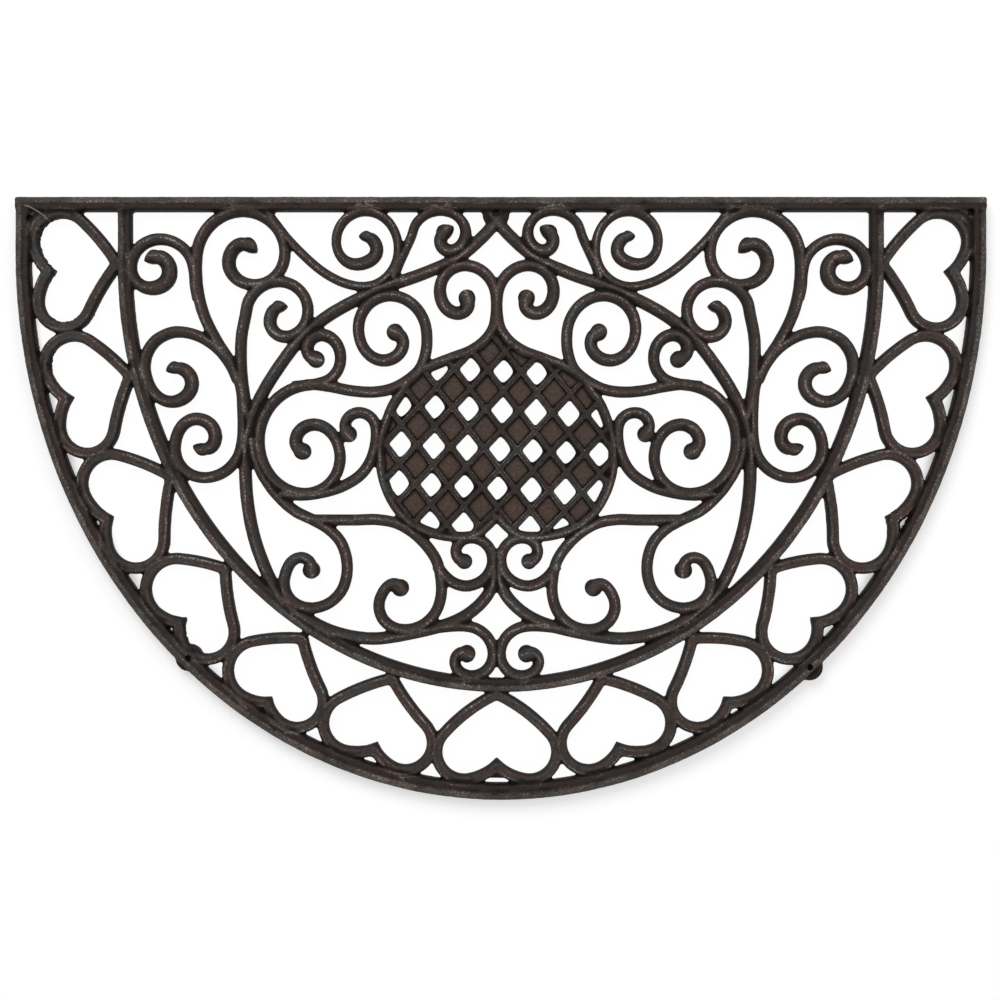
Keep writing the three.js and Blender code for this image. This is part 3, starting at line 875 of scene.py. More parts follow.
@dataclass
class Lattice:
    """Lattice of the medallion: thin plate with open diamonds, and raised diagonal ribs."""

    shop: StrandShop
    middle: Drawn = (2.0, 192.3)
    cell_width: float = 25.5
    cell_depth: float = 29.8
    tilt: float = 2.9
    rib_width: float = 5.8
    rib_height: float = 8.0
    panel_height: float = 4.2
    roundness: float = 1.3
    cell_share: float = 0.94
    cell_spread: float = 0.1
    rib_reach: int = 16
    shortest_rib: float = 8.0
    open_cells: dict[int, tuple[int, int]] = field(
        default_factory=lambda: {-4: (-4, 2), -2: (-6, 6), 0: (-6, 6), 2: (-6, 6), 4: (-4, 4)})

    def outline(self) -> np.ndarray:
        """Medallion outline as rows of x, y in millimetres, both halves."""
        half = [*RING_TOP, *RING]
        return np.vstack([drawn_line(half, Half.RIGHT), drawn_line(half[1:-1], Half.LEFT)[::-1]])

    def point(self, across: float, down: float) -> np.ndarray:
        """Place of a lattice point.

        Args:
            across: half cells from the middle to the right.
            down: half cells from the middle to the front.

        Returns:
            The place as x, y in millimetres.
        """
        turn = math.radians(self.tilt)
        u, v = across * self.cell_width / 2, down * self.cell_depth / 2
        x, depth = u * math.cos(turn) - v * math.sin(turn), u * math.sin(turn) + v * math.cos(turn)
        return place_ornament((self.middle[0] + x, self.middle[1] + depth))

    def build(self) -> list[Piece]:
        """Make the plate with its open diamonds cut out, and the ribs.

        Returns:
            The plate and the ribs.
        """
        plate = slab(self.outline(), self.panel_height)
        model = self._diamond()
        cutters = []
        for down, (first, last) in self.open_cells.items():
            for across in range(first, last + 1, 2):
                x, y = self.point(across, down)
                cutters.append(copy_to(model, (x, y, 0.0), self._uneven(across, down)))
        bpy.data.objects.remove(model)
        cutter = join_pieces(cutters, "diamond_cutter")
        apply_modifier(plate, "BOOLEAN", operation="DIFFERENCE", solver="EXACT", object=cutter)
        bpy.data.objects.remove(cutter)
        return [plate, *self._ribs()]

    def _uneven(self, across: int, down: int) -> float:
        """Size of one open cell as a share of the model's, as the sand left it."""
        return self.cell_share + self.cell_spread * math.sin(across * 2.7 + down * 5.1)

    def _diamond(self) -> Piece:
        """Prism of an open cell at the origin, a diamond with rounded corners.

        Returns:
            The prism, as large as a cell between its ribs.
        """
        diamond = cylinder(32, 1.0, UNDERSIDE - self.panel_height, 3 * self.panel_height)
        share = 1 - self.rib_width / 2 * math.hypot(self.cell_width, self.cell_depth) / (
            self.cell_width * self.cell_depth / 2)
        for vertex in diamond.data.vertices:
            x, y = vertex.co.x, vertex.co.y
            reach = (abs(x) ** self.roundness + abs(y) ** self.roundness) ** (-1 / self.roundness)
            vertex.co.x, vertex.co.y = x * reach, y * reach
        diamond.scale = (self.cell_width / 2 * share * MM, self.cell_depth / 2 * share * MM, 1.0)
        diamond.rotation_euler[2] = -math.radians(self.tilt)
        return set_place(diamond)

    def _ribs(self) -> list[Piece]:
        """Raised ribs both ways, cut to length at the ring.

        Returns:
            The ribs.
        """
        outline = self.outline()
        pieces = []
        reach = self.rib_reach
        for k in range(1 - reach, reach, 2):
            for slant in (1, -1):
                begin, end = self.point(k - reach, -slant * reach), self.point(k + reach, slant * reach)
                span = self._inside(begin, end, outline)
                if span is not None:
                    pieces.append(self._rib(*span))
        return pieces

    def _inside(self, begin: np.ndarray, end: np.ndarray,
                outline: np.ndarray) -> tuple[np.ndarray, np.ndarray] | None:
        """Stretch of a straight line inside an outline.

        Args:
            begin: one end of the line.
            end: its other end.
            outline: rows of x, y in millimetres.

        Returns:
            Both ends of the stretch, or None where there is none of some length.
        """
        run = end - begin
        hits = []
        for a, b in zip(outline, np.roll(outline, -1, axis=0)):
            side = b - a
            cross = run[0] * side[1] - run[1] * side[0]
            if abs(cross) < 1e-9:
                continue
            gap = a - begin
            t = (gap[0] * side[1] - gap[1] * side[0]) / cross
            s = (gap[0] * run[1] - gap[1] * run[0]) / cross
            if 0 <= s < 1:
                hits.append(t)
        if len(hits) < 2 or (max(hits) - min(hits)) * np.linalg.norm(run) < self.shortest_rib:
            return None
        return begin + run * min(hits), begin + run * max(hits)

    def _rib(self, begin: np.ndarray, end: np.ndarray) -> Piece:
        """One straight rib, narrower at its crest."""
        line = self.shop.even(np.array([begin, end]))
        return self.shop.roll("rib", line, np.full(len(line), self.rib_width), self.rib_height, Profile.RIB)


@dataclass
class Casting:
    """The whole iron casting: strands, medallion, webs and bosses poured into one skin."""

    boss_radius: float = 10.3
    boss_height: float = 7.5
    hole_radius: float = 2.6
    voxel: float = 0.85
    triangles: int = 194000
    crotch_bend: float = 0.12
    panel_top: float = UNDERSIDE + 4.1
    panel_within: float = 0.7
    wear_and_shade_percentiles: tuple[float, float, float] = (4, 45, 96)
    sand_from: float = 7.0
    sand_over: float = 2.5
    flash_from: float = 4.6
    flash_to: float = 12.5
    sand: tuple[tuple[str, float, float], ...] = (("waver", 12.0, 0.35), ("grain", 2.6, 0.28))
    flash_sand: tuple[str, float, float] = ("flash", 3.2, 3.8)
    flash: tuple[tuple[float, float, float], ...] = (
        (-351, 27, 17), (-343, 52, 12), (-334, 92, 14), (-344, 127, 15), (-306, 96, 9), (-240, 330, 13), (305, 248, 12))

    def build(self) -> Piece:
        """Make the casting.

        Returns:
            The casting as one mesh object.
        """
        shop = StrandShop()
        rim = Rim(shop)
        pieces = [*rim.build(), *rim.corner_webs(), *Ornament(shop).build(), *Lattice(shop).build(), *self._bosses()]
        log.info("casting: %d strands and plates", len(pieces))
        casting = join_pieces(pieces, "door_mat_casting")
        apply_modifier(casting, "REMESH", mode="VOXEL", voxel_size=self.voxel * MM, adaptivity=0.0)
        log.info("casting: poured skin of %d faces", len(casting.data.polygons))
        self._fill_crotches(casting)
        self._roughen(casting)
        self._drill(casting)
        faces = sum(len(p.vertices) - 2 for p in casting.data.polygons)
        apply_modifier(casting, "DECIMATE", decimate_type="COLLAPSE", ratio=self.triangles / faces)
        self._drop_crumbs(casting)
        self._mark_wear_and_shading(casting, shop)
        casting.data.shade_smooth()
        log.info("casting: %d faces kept", len(casting.data.polygons))
        return casting

    def _bosses(self) -> list[Piece]:
        """Round bosses that carry the feet."""
        return list(copies_at_feet(cylinder(48, self.boss_radius, UNDERSIDE, self.boss_height)).values())

    def _bend(self, mesh: bpy.types.Mesh, passes: int) -> np.ndarray:
        """How convex the skin is at each vertex.

        Args:
            mesh: the casting's mesh.
            passes: how often it is evened out over neighbours.

        Returns:
            A number for each vertex, below 0 in hollows.
        """
        co = read_vectors(mesh.vertices, "co")
        normals = read_vectors(mesh.vertices, "normal")
        a, b = self._edges(mesh)
        run = co[b] - co[a]
        run /= np.maximum(np.linalg.norm(run, axis=1), 1e-9)[:, None]
        bend = np.bincount(a, weights=-(normals[a] * run).sum(1), minlength=len(co))
        bend += np.bincount(b, weights=(normals[b] * run).sum(1), minlength=len(co))
        near = np.maximum(np.bincount(a, minlength=len(co)) + np.bincount(b, minlength=len(co)), 1)
        return self._spread(bend / near, a, b, passes)

    def _edges(self, mesh: bpy.types.Mesh) -> tuple[np.ndarray, np.ndarray]:
        """Vertices at both ends of every edge.

        Args:
            mesh: the casting's mesh.

        Returns:
            Numbers of the first and of the second vertices.
        """
        edges = np.empty(len(mesh.edges) * 2, dtype=np.int32)
        mesh.edges.foreach_get("vertices", edges)
        return edges[::2], edges[1::2]

    def _spread(self, values: np.ndarray, a: np.ndarray, b: np.ndarray, passes: int) -> np.ndarray:
        """Values evened out over neighbours.

        Args:
            values: a number for each vertex.
            a: first vertices of the edges.
            b: second vertices of the edges.
            passes: how often they are evened out.

        Returns:
            The numbers, evened out.
        """
        count = len(values)
        near = np.maximum(np.bincount(a, minlength=count) + np.bincount(b, minlength=count), 1)
        for _ in range(passes):
            total = np.bincount(a, weights=values[b], minlength=count)
            total += np.bincount(b, weights=values[a], minlength=count)
            values = 0.5 * values + 0.5 * total / near
        return values

    def _group(self, piece: Piece, name: str, weights: np.ndarray) -> None:
        """Vertex group with weights rounded to tenths.

        Args:
            piece: the piece that gets it.
            name: its name.
            weights: a weight for each vertex.
        """
        group = piece.vertex_groups.new(name=name)
        tenths = np.round(np.clip(weights, 0, 1) * 10).astype(int)
        for tenth in range(1, 11):
            group.add(np.nonzero(tenths == tenth)[0].tolist(), tenth / 10, "REPLACE")

    def _fill_crotches(self, casting: Piece) -> None:
        """Round the crotches where strands meet, as sand leaves them, and soften the ridges a little.

        Args:
            casting: the casting.
        """
        mesh = casting.data
        a, b = self._edges(mesh)
        bend = self._bend(mesh, 2)
        crotch = np.clip(-bend / self.crotch_bend, 0, 1)
        crotch = np.clip(self._spread(crotch, a, b, 6) * 2.5, 0, 1)
        self._group(casting, "crotch", crotch)
        apply_modifier(casting, "SMOOTH", factor=0.6, iterations=14, vertex_group="crotch")
        apply_modifier(casting, "SMOOTH", factor=0.5, iterations=2)
        casting.vertex_groups.clear()

    def _roughen(self, casting: Piece) -> None:
        """Waver the upper skin a little, as sand does, and leave ragged flash inside some of the hearts.

        Args:
            casting: the casting.
        """
        z = read_vectors(casting.data.vertices, "co")[:, 2] / MM
        self._sand(casting, (z - self.sand_from) / self.sand_over, self.sand)
        spots = read_vectors(casting.data.vertices, "co")[:, :2] / MM
        near = np.zeros(len(spots))
        for x, depth, radius in self.flash:
            near = np.maximum(near, 1.3 - np.linalg.norm(spots - place((x, depth)), axis=1) / radius)
        self._sand(casting, near * (z > self.flash_from) * (z < self.flash_to), (self.flash_sand,))

    def _sand(self, casting: Piece, weights: np.ndarray,
              grades: tuple[tuple[str, float, float], ...]) -> None:
        """Push the skin in and out by grades of sand.

        Args:
            casting: the casting.
            weights: how far each vertex is open to it, from 0 to 1.
            grades: name, size of the lumps and reach of each grade, in millimetres.
        """
        self._group(casting, "open", weights)
        for name, size, reach in grades:
            sand = bpy.data.textures.new("sand_" + name, "CLOUDS")
            sand.noise_scale = size * MM
            apply_modifier(casting, "DISPLACE", texture=sand, texture_coords="LOCAL", strength=reach * MM,
                           mid_level=0.5, vertex_group="open")
        casting.vertex_groups.clear()

    def _drill(self, casting: Piece) -> None:
        """Drill the holes of the feet.

        Args:
            casting: the casting.
        """
        drill = join_pieces(list(copies_at_feet(cylinder(32, self.hole_radius, -12.0, 40.0)).values()), "foot_drill")
        apply_modifier(casting, "BOOLEAN", operation="DIFFERENCE", solver="MANIFOLD", object=drill)
        bpy.data.objects.remove(drill)

    def _drop_crumbs(self, casting: Piece) -> None:
        """Delete what isn't joined to the rim, such as bubbles of the pouring.

        Args:
            casting: the casting.
        """
        select_only(casting)
        bpy.ops.object.mode_set(mode="EDIT")
        bpy.ops.mesh.select_all(action="DESELECT")
        body = bmesh.from_edit_mesh(casting.data)
        max(body.verts, key=lambda vertex: vertex.co.x).select_set(True)
        bmesh.update_edit_mesh(casting.data)
        bpy.ops.mesh.select_linked()
        bpy.ops.mesh.select_all(action="INVERT")
        bpy.ops.mesh.delete(type="VERT")
        bpy.ops.object.mode_set(mode="OBJECT")

    def _mark_wear_and_shading(self, casting: Piece, shop: StrandShop) -> None:
        """Store how worn, sunk and level the skin is, its place across the strand, and the kind of strand, from which
        the paint takes its wear, painted shade and painted highlights.

        Args:
            casting: the casting.
            shop: the shop that rolled its strands.
        """
        mesh = casting.data
        a, b = self._edges(mesh)
        bend = self._bend(mesh, 3)
        facing = read_vectors(mesh.vertices, "normal")[:, 2]
        low, middle, high = np.percentile(bend[facing > 0.3], self.wear_and_shade_percentiles)
        log.info("casting: bend %.3f %.3f %.3f", low, middle, high)
        spots = read_vectors(mesh.vertices, "co") / MM
        across, kind = shop.marks_at(spots[:, :2])
        level = (facing > 0.8) & (abs(spots[:, 2] - self.panel_top) < self.panel_within)
        panel = self._spread(level.astype(float), a, b, 3) * np.clip(facing, 0, 1)
        marks = {"worn": (bend - middle) / (high - middle), "sunk": (middle - bend) / (middle - low),
                 "facing": facing, "across": np.clip(across, -2, 2) / 4 + 0.5, "panel": panel}
        for n, profile in enumerate(Profile):
            marks[profile.name.lower()] = self._spread((kind == n).astype(float), a, b, 1)
        for name, values in marks.items():
            attribute = mesh.attributes.new(name, "FLOAT", "POINT")
            attribute.data.foreach_set("value", np.clip(values, 0, 1).astype(np.float32))


@dataclass
class RubberFeet:
    """Push-in feet: a pad under the casting and a stem up its hole."""

    pad_radius: float = 9.5
    pad_height: float = 4.0
    stem_radius: float = 2.3
    stem_top: float = 9.0
    recess_ledge: float = 2.4
    recess_wall: float = 0.5
    recess_depth: float = 0.6
    rounding: float = 0.6

    def build(self) -> dict[str, Piece]:
        """Model one foot and copy it to every hole.

        Returns:
            The feet by the name of the node each stands for.
        """
        feet = copies_at_feet(self._foot())
        for name, foot in feet.items():
            foot.name = foot.data.name = name.replace("rubber_foot", "foot")
        return feet

    def _foot(self) -> Piece:
        """One foot at the origin.

        Returns:
            The foot.
        """
        foot = cylinder(48, self.pad_radius, 0.0, self.pad_height)
        bpy.ops.object.mode_set(mode="EDIT")
        select_facing(foot, 1)
        bpy.ops.mesh.inset(thickness=(self.pad_radius - self.stem_radius) * MM)
        bpy.ops.mesh.extrude_region_move(
            TRANSFORM_OT_translate={"value": (0, 0, (self.stem_top - self.pad_height) * MM)})
        select_facing(foot, -1)
        bpy.ops.mesh.inset(thickness=self.recess_ledge * MM)
        bpy.ops.mesh.inset(thickness=self.recess_wall * MM, depth=-self.recess_depth * MM)
        bpy.ops.object.mode_set(mode="OBJECT")
        apply_modifier(foot, "BEVEL", width=self.rounding * MM, segments=3, limit_method="ANGLE",
                       angle_limit=math.radians(40))
        bpy.ops.object.mode_set(mode="EDIT")
        bpy.ops.mesh.select_all(action="SELECT")
        bpy.ops.mesh.remove_doubles(threshold=WELD * MM)
        bpy.ops.object.mode_set(mode="OBJECT")
        select_only(foot)
        bpy.ops.object.shade_smooth_by_angle(angle=math.radians(35))
        return foot


class Wire:
    """A shader socket that takes part in arithmetic."""

    def __init__(self, tree: "Graph", socket: bpy.types.NodeSocket) -> None:
        """Keep the graph and the socket."""
        self.tree = tree
        self.socket = socket

    def _math(self, operation: str, *values: "Wire | float") -> "Wire":
        """Result of one Math node."""
        return self.tree.node("ShaderNodeMath", {"operation": operation}, dict(enumerate(values)))

    def __add__(self, other: "Wire | float") -> "Wire":
        """Sum."""
        return self._math("ADD", self, other)

    __radd__ = __add__

    def __sub__(self, other: "Wire | float") -> "Wire":
        """Difference."""
        return self._math("SUBTRACT", self, other)

    def __rsub__(self, other: float) -> "Wire":
        """Difference from a number."""
        return self._math("SUBTRACT", other, self)

    def __mul__(self, other: "Wire | float") -> "Wire":
        """Product."""
        return self._math("MULTIPLY", self, other)

    __rmul__ = __mul__

    def __abs__(self) -> "Wire":
        """Size without its sign."""
        return self._math("ABSOLUTE", self)

    def clamped(self, low: float, high: float) -> "Wire":
        """Smooth step from 0 to 1.

        Args:
            low: value up to which it is 0.
            high: value from which it is 1.

        Returns:
            The wire of the step.
        """
        return self.tree.node(
            "ShaderNodeMapRange", {"interpolation_type": "SMOOTHSTEP"},
            {"Value": self, "From Min": low, "From Max": high, "To Min": 0.0, "To Max": 1.0})


class Graph:
    """Node graph of one material."""

    def __init__(self, name: str) -> None:
        """Start an empty material with its output and main shader.

        Args:
            name: name of the material.
        """
        self.material = bpy.data.materials.new(name)
        self.material.use_nodes = True
        self.nodes = self.material.node_tree.nodes
        self.links = self.material.node_tree.links
        self.nodes.clear()
        self.output = self.nodes.new("ShaderNodeOutputMaterial")
        self.shader = self.nodes.new("ShaderNodeBsdfPrincipled")
        self.links.new(self.shader.outputs[0], self.output.inputs["Surface"])

    def node(self, kind: str, settings: dict[str, object], values: dict[str | int, object],
             out: str | int = 0) -> Wire:
        """Add a node.

        Args:
            kind: node type.
            settings: properties that are set first.
            values: numbers, colours or wires for its input sockets.
            out: output that is returned.

        Returns:
            The wire from that output.
        """
        made = self.nodes.new(kind)
        for name, value in settings.items():
            setattr(made, name, value)
        for key, value in values.items():
            self.feed(made.inputs[key], value)
        return Wire(self, made.outputs[out])

    def feed(self, socket: bpy.types.NodeSocket, value: object) -> None:
        """Link a wire to a socket, or set the socket's value.

        Args:
            socket: the input socket.
            value: a wire, or a number, colour or vector.
        """
        if isinstance(value, Wire):
            self.links.new(value.socket, socket)
        else:
            socket.default_value = value

    def mix(self, share: Wire | float, first: object, second: object) -> Wire:
        """Blend of two colours.

        Args:
            share: how much of the second colour shows, from 0 to 1.
            first: the colour at 0.
            second: the colour at 1.

        Returns:
            The wire of the blend.
        """
        made = self.nodes.new("ShaderNodeMix")
        made.data_type = "RGBA"
        for key, value in (("Factor", share), ("A", first), ("B", second)):
            sockets = [s for s in made.inputs if s.name == key and s.enabled]
            self.feed(sockets[0], value)
        return Wire(self, [s for s in made.outputs if s.enabled][0])

    def place(self) -> Wire:
        """The piece's own coordinates."""
        return self.node("ShaderNodeTexCoord", {}, {}, "Object")

    def noise(self, scale: float, detail: float = 3.0, rough: float = 0.55) -> Wire:
        """Noise on the piece's own coordinates, with its scale per metre."""
        return self.node("ShaderNodeTexNoise", {"normalize": True},
                         {"Vector": self.place(), "Scale": scale, "Detail": detail, "Roughness": rough}, "Fac")

    def mark(self, name: str) -> Wire:
        """An attribute of the mesh."""
        return self.node("ShaderNodeAttribute", {"attribute_name": name}, {}, "Fac")


def srgb(red: float, green: float, blue: float) -> Colour:
    """Linear colour of a display colour.

    Args:
        red: red from 0 to 255.
        green: green from 0 to 255.
        blue: blue from 0 to 255.

    Returns:
        The colour with its alpha.
    """
    def linear(value: float) -> float:
        """Linear value of one channel."""
        v = value / 255
        return v / 12.92 if v <= 0.04045 else ((v + 0.055) / 1.055) ** 2.4
    return (linear(red), linear(green), linear(blue), 1.0)


@dataclass(frozen=True)
class AntiqueIron:
    """Antique brown-black paint on rough cast iron, worn dull grey along its ridges, with painted highlights on the
    crests and painted shade on walls, edges, hollows and inner sides.
    """

    paint: Colour = srgb(63, 56, 52)
    warm: Colour = srgb(72, 56, 51)
    cool: Colour = srgb(65, 63, 61)
    # dark tone for random mottle and specks, also used for painted shade on the strands' inner sides
    dark: Colour = srgb(30, 22, 20)
    # painted shade: near-black for strand edges, sides turned away from straight up, and hollows
    painted_shade_black: Colour = srgb(8, 5, 5)
    # painted shade tone for the steepest walls
    wall_shade: Colour = srgb(48, 40, 37)
    panel: Colour = srgb(80, 66, 60)
    ochre: Colour = srgb(88, 74, 61)
    # grey of dust and wear on the crests, also standing in for painted highlight
    dust_and_highlight_grey: Colour = srgb(94, 89, 84)
    # unpainted metal where the paint is worn off, also standing in for painted glints
    bare_metal_and_glint: Colour = srgb(158, 155, 150)
    scratched: Colour = srgb(140, 124, 108)
    scratch: tuple[Drawn, Drawn] = ((-362.2, 7.0), (-344.7, 17.9))
    scratch_width: float = 0.7

    def material(self) -> bpy.types.Material:
        """Make the material.

        Returns:
            The material, which reads the casting's marks.
        """
        g = Graph("antique_iron")
        worn, sunk, facing, across, panel, flat, heart, rib = (g.mark(name) for name in (
            "worn", "sunk", "facing", "across", "panel", "flat", "heart", "rib"))
        patches = g.noise(38.0, 3.0)
        mottle = g.noise(360.0, 4.0, 0.6)
        speck = g.noise(880.0, 3.0, 0.65)
        side = (across - 0.5) * 4.0
        ridged = 1 - flat - heart - rib
        edge = self._edge(g, side, ridged, flat, heart, rib)
        band = flat * side.clamped(0.02, 0.2) * (1 - side.clamped(0.74, 0.92))
        # painted shade mask: inner side of each strand, outer wall of each heart, and the ribs
        inner = flat * (1 - side.clamped(-0.14, 0.1)) + ridged * (1 - side.clamped(-0.78, -0.3)) * 0.8
        inner = inner + heart * side.clamped(0.55, 0.8) + rib * 0.7
        colour = g.mix(patches.clamped(0.42, 0.58) * 0.9, self.paint, self.warm)
        colour = g.mix(g.noise(24.0, 3.0).clamped(0.5, 0.62) * 0.85, colour, self.cool)
        colour = g.mix(mottle.clamped(0.48, 0.7) * 0.6, colour, self.dark)
        # painted shade: the dark colour over those inner sides
        colour = g.mix(inner * 0.55, colour, self.dark)
        # painted shade: darker towards each strand's edges and on sides turned away from straight up
        colour = g.mix(abs(side).clamped(0.7, 0.98) * 0.6, colour, self.painted_shade_black)
        colour = g.mix((1 - facing.clamped(0.1, 0.66)) * 0.9, colour, self.painted_shade_black)
        # painted shade: the steepest walls take the painted shade tone
        colour = g.mix((1 - facing.clamped(0.02, 0.16)) * (0.65 + mottle * 0.5), colour, self.wall_shade)
        # painted shade in crotches and hollows where strands meet
        colour = g.mix(sunk.clamped(0.1, 0.7) * 0.9, colour, self.painted_shade_black)
        colour = g.mix(panel * (0.7 + mottle * 0.5), colour, self.panel)
        colour = g.mix(panel * mottle.clamped(0.46, 0.62) * 0.6, colour, self.ochre)
        colour = g.mix(panel * speck.clamped(0.5, 0.66) * 0.6, colour, self.dark)
        # upward-facing faces outside panels and hollows, where the painted highlights go
        bright = facing.clamped(0.3, 0.7) * (1 - panel) * (1 - sunk.clamped(0.2, 0.7))
        # dust and wear along the crests and the rim's outer band, partly painted highlight
        dust = bright * (edge * 0.75 + band * 0.6) * (mottle + patches * 0.6).clamped(0.6, 0.95)
        colour = g.mix(dust.clamped(0.0, 1.0) * 0.7, colour, self.dust_and_highlight_grey)
        # unpainted metal flecks where the paint is worn off on convex crests, partly painted glints
        rubbed_and_glint = (edge + band * 0.4 + 0.12) * (worn * 0.4 + 0.7) * (speck + patches * 0.3).clamped(0.65, 0.8)
        rubbed_and_glint = (bright * rubbed_and_glint).clamped(0.0, 1.0)
        colour = g.mix(rubbed_and_glint, colour, self.bare_metal_and_glint)
        colour = g.mix(self._scratch(g) * speck.clamped(0.36, 0.5), colour, self.scratched)
        g.feed(g.shader.inputs["Base Color"], colour)
        g.feed(g.shader.inputs["Metallic"], rubbed_and_glint * 0.4)
        g.feed(g.shader.inputs["Roughness"], 0.58 + mottle * 0.12 - rubbed_and_glint * 0.1)
        g.feed(g.shader.inputs["Specular IOR Level"], 0.13)
        g.feed(g.shader.inputs["Normal"], self._sand(g, mottle))
        return g.material

    def _edge(self, g: Graph, side: Wire, ridged: Wire, flat: Wire, heart: Wire, rib: Wire) -> Wire:
        """Thin worn lines along the crests of the strands, partly painted highlight, wandering and fading in places.

        Args:
            g: the graph.
            side: place across the strand, 0 in the middle and above 0 on the outer side of the bend.
            ridged: 1 on garland, ring and scrolls.
            flat: 1 on rim and inner arch.
            heart: 1 on hearts.
            rib: 1 on the lattice's ribs.

        Returns:
            1 on a line, falling to 0 beside it.
        """
        fade = g.noise(55.0, 3.0)
        wander = side + (g.noise(70.0, 2.0) - 0.5) * 0.9
        edge = ridged * self._line(wander, 0.14, 0.36) + flat * self._line(wander, 0.12, 0.3) * 0.6
        edge = edge + heart * (self._line(wander, 0.42, 0.3) + self._line(wander, -0.5, 0.24) * 0.5)
        edge = edge + rib * (self._line(side, 0.5, 0.3) + self._line(side, -0.5, 0.3)) * 0.7
        return edge * (0.35 + fade.clamped(0.36, 0.6) * 0.65)

    def _sand(self, g: Graph, mottle: Wire) -> Wire:
        """Grainy, pitted skin that the sand mould leaves.

        Args:
            g: the graph.
            mottle: the noise that also mottles the paint.

        Returns:
            The skin's normal.
        """
        grain = g.noise(1500.0, 2.0, 0.6)
        pits = g.node("ShaderNodeTexVoronoi", {"feature": "F1"}, {"Vector": g.place(), "Scale": 520.0}, "Distance")
        height = grain * 0.6 + mottle * 0.9 + pits.clamped(0.0, 0.35) * 0.5
        return g.node("ShaderNodeBump", {}, {"Strength": 0.6, "Distance": 0.0008, "Height": height}, "Normal")

    def _line(self, side: Wire, middle: float, reach: float) -> Wire:
        """1 along a line at a share of the half width, falling to 0 at its reach on both sides."""
        return (1 - abs(side - middle) * (1 / reach)).clamped(0.0, 1.0)

    def _scratch(self, g: Graph) -> Wire:
        """Pale bowed scratch at the left corner.

        Args:
            g: the graph.

        Returns:
            1 along the scratch, falling to 0 beside it.
        """
        begin, end = (place(point) * MM for point in self.scratch)
        x, y = (begin + end) / 2
        run = end - begin
        spot = g.node("ShaderNodeMapping", {"vector_type": "TEXTURE"}, {
            "Vector": g.place(), "Location": (x, y, 0.0), "Rotation": (0.0, 0.0, math.atan2(run[1], run[0])),
            "Scale": (float(np.hypot(*run)) / 2, self.scratch_width * MM, 1.0)})
        along, aside = (g.node("ShaderNodeSeparateXYZ", {}, {"Vector": spot}, axis) for axis in "XY")
        bow = aside - (1 - along * along) * 2.0 + (g.noise(300.0) - 0.5) * 1.6
        return self._line(bow, 0.0, 1.3) * (1 - abs(along).clamped(0.8, 1.1))


@dataclass(frozen=True)
class MouldedRubber:
    """Matt black moulded rubber with a faint bloom."""

    black: Colour = srgb(26, 26, 27)
    bloom: Colour = srgb(52, 51, 50)

    def material(self) -> bpy.types.Material:
        """Make the material.

        Returns:
            The material.
        """
        g = Graph("moulded_rubber")
        dust = g.noise(260.0, 4.0, 0.6)
        fine = g.noise(2400.0, 2.0, 0.5)
        g.feed(g.shader.inputs["Base Color"], g.mix(dust.clamped(0.5, 0.8) * 0.6, self.black, self.bloom))
        g.feed(g.shader.inputs["Roughness"], 0.72 + dust * 0.2)
        g.feed(g.shader.inputs["Normal"], g.node(
            "ShaderNodeBump", {}, {"Strength": 0.3, "Distance": 0.0002, "Height": fine}, "Normal"))
        return g.material


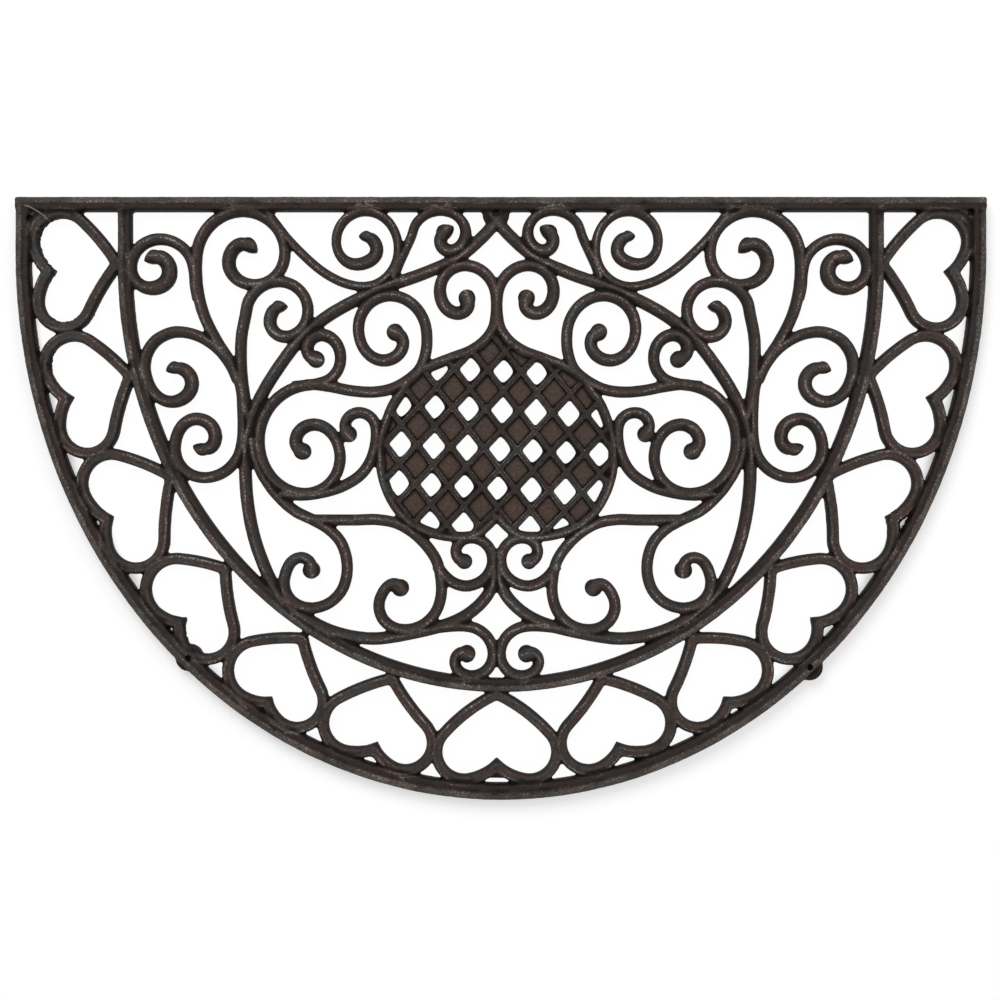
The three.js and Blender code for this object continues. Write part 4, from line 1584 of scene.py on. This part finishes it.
@dataclass
class Studio:
    """Pale floor, soft lamps and a camera straight above the mat."""

    camera_height: float = 1.15
    view_width: float = 0.764
    floor_white: float = 0.95
    floor_lit: float = 0.84
    glow_within: float = 0.94
    glow_beyond: float = 0.27
    shade_edge: tuple[float, float] = (0.97, 1.0)
    shade_end: tuple[float, float] = (1.8, 3.2)
    air: float = 0.42
    mat_middle: float = 0.008
    camera_aside: tuple[float, float] = (-0.0007, -0.0012)
    lamps: tuple[tuple[str, tuple[float, float, float], float, float], ...] = (
        ("key", (-0.5, 1.1, 1.6), 1.0, 17.0),
        ("fill", (1.3, 0.2, 1.5), 1.6, 8.0),
        ("front", (-0.3, -1.4, 1.4), 1.6, 6.0),
    )

    def build(self) -> None:
        """Make the floor, the world, the lamps and the camera."""
        bpy.context.scene.view_settings.view_transform = "Standard"
        self._floor()
        self._world()
        for lamp in self.lamps:
            self._lamp(*lamp)
        self._camera()

    def _floor(self) -> None:
        """White floor that shows white to the camera and keeps the mat's shadow before its arched edge."""
        bpy.ops.object.select_all(action="DESELECT")
        bpy.ops.mesh.primitive_plane_add(size=30.0, location=(0, 0, -0.0002))
        floor = bpy.context.object
        floor.name = "studio_floor"
        g = Graph("studio_white")
        white = (self.floor_white, self.floor_white, self.floor_white, 1.0)
        g.feed(g.shader.inputs["Base Color"], white)
        g.feed(g.shader.inputs["Roughness"], 0.9)
        g.feed(g.shader.inputs["Specular IOR Level"], 0.0)
        path = g.nodes.new("ShaderNodeLightPath")
        seen = Wire(g, path.outputs["Is Camera Ray"]) + Wire(g, path.outputs["Is Glossy Ray"])
        seen = seen + Wire(g, path.outputs["Is Transmission Ray"])
        glow = g.nodes.new("ShaderNodeEmission")
        blend = g.nodes.new("ShaderNodeMixShader")
        reach = g.node("ShaderNodeMapping", {"vector_type": "TEXTURE"},
                       {"Vector": g.place(), "Location": (0, MAT_DEPTH / 2 * MM, 0),
                        "Scale": (MAT_WIDTH / 2 * MM, MAT_DEPTH * MM, 1.0)})
        distance = g.node("ShaderNodeVectorMath", {"operation": "LENGTH"}, {0: reach}, "Value")
        beyond = distance.clamped(*self.shade_edge) * (1 - distance.clamped(*self.shade_end))
        level = self.glow_within - beyond * (self.glow_within - self.glow_beyond)
        g.feed(blend.inputs[0], seen * level)
        g.feed(glow.inputs["Color"], self._strength(self.glow_within) + beyond * (
            self._strength(self.glow_beyond) - self._strength(self.glow_within)))
        g.links.new(g.shader.outputs[0], blend.inputs[1])
        g.links.new(glow.outputs[0], blend.inputs[2])
        g.links.new(blend.outputs[0], g.output.inputs["Surface"])
        floor.data.materials.append(g.material)

    def _strength(self, share: float) -> float:
        """Strength at which the glow, for so much of the floor's look, makes its lit rest up to white."""
        return (1.01 - (1 - share) * self.floor_lit) / share

    def _world(self) -> None:
        """Plain white surroundings at a low level, white to the camera."""
        world = bpy.data.worlds.new("studio_air")
        world.use_nodes = True
        bpy.context.scene.world = world
        nodes, links = world.node_tree.nodes, world.node_tree.links
        nodes.clear()
        output = nodes.new("ShaderNodeOutputWorld")
        background = nodes.new("ShaderNodeBackground")
        background.inputs["Color"].default_value = (1.0, 1.0, 1.0, 1.0)
        path = nodes.new("ShaderNodeLightPath")
        level = nodes.new("ShaderNodeMapRange")
        level.inputs["To Min"].default_value = self.air
        level.inputs["To Max"].default_value = 1.0
        links.new(path.outputs["Is Camera Ray"], level.inputs["Value"])
        links.new(level.outputs[0], background.inputs["Strength"])
        links.new(background.outputs[0], output.inputs["Surface"])

    def _lamp(self, name: str, spot: tuple[float, float, float], size: float, power: float) -> None:
        """Soft square lamp that faces the mat.

        Args:
            name: its name.
            spot: its place in metres.
            size: its size in metres.
            power: its power in watts.
        """
        data = bpy.data.lights.new(name, "AREA")
        data.size = size
        data.energy = power
        lamp = bpy.data.objects.new(name, data)
        lamp.location = spot
        lamp.rotation_euler = (-Vector(spot)).to_track_quat("-Z", "Y").to_euler()
        bpy.context.scene.collection.objects.link(lamp)

    def _camera(self) -> None:
        """Camera that looks straight down with the straight edge at the top of the picture."""
        data = bpy.data.cameras.new("above")
        data.sensor_fit = "HORIZONTAL"
        data.sensor_width = 36.0
        data.lens = 36.0 * self.camera_height / self.view_width
        camera = bpy.data.objects.new("above", data)
        camera.location = (*self.camera_aside, self.camera_height + self.mat_middle)
        bpy.context.scene.collection.objects.link(camera)
        bpy.context.scene.camera = camera


def dress(piece: Piece, material: bpy.types.Material) -> None:
    """Give a piece its only material and its slot of the record.

    Args:
        piece: the piece.
        material: its material.
    """
    piece.data.materials.clear()
    piece.data.materials.append(material)
    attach(piece, "root")


def main() -> None:
    """Build the studio, the casting and the feet, and report each."""
    logging.basicConfig(level=logging.INFO, format="%(name)s: %(message)s")
    Studio().build()
    iron, rubber = AntiqueIron().material(), MouldedRubber().material()
    casting = Casting().build()
    dress(casting, iron)
    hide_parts("iron_casting")
    log.info("casting: done")
    for node, foot in RubberFeet().build().items():
        dress(foot, rubber)
        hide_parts(node)
        log.info("%s: done", foot.name)


if __name__ == "__main__":
    main()
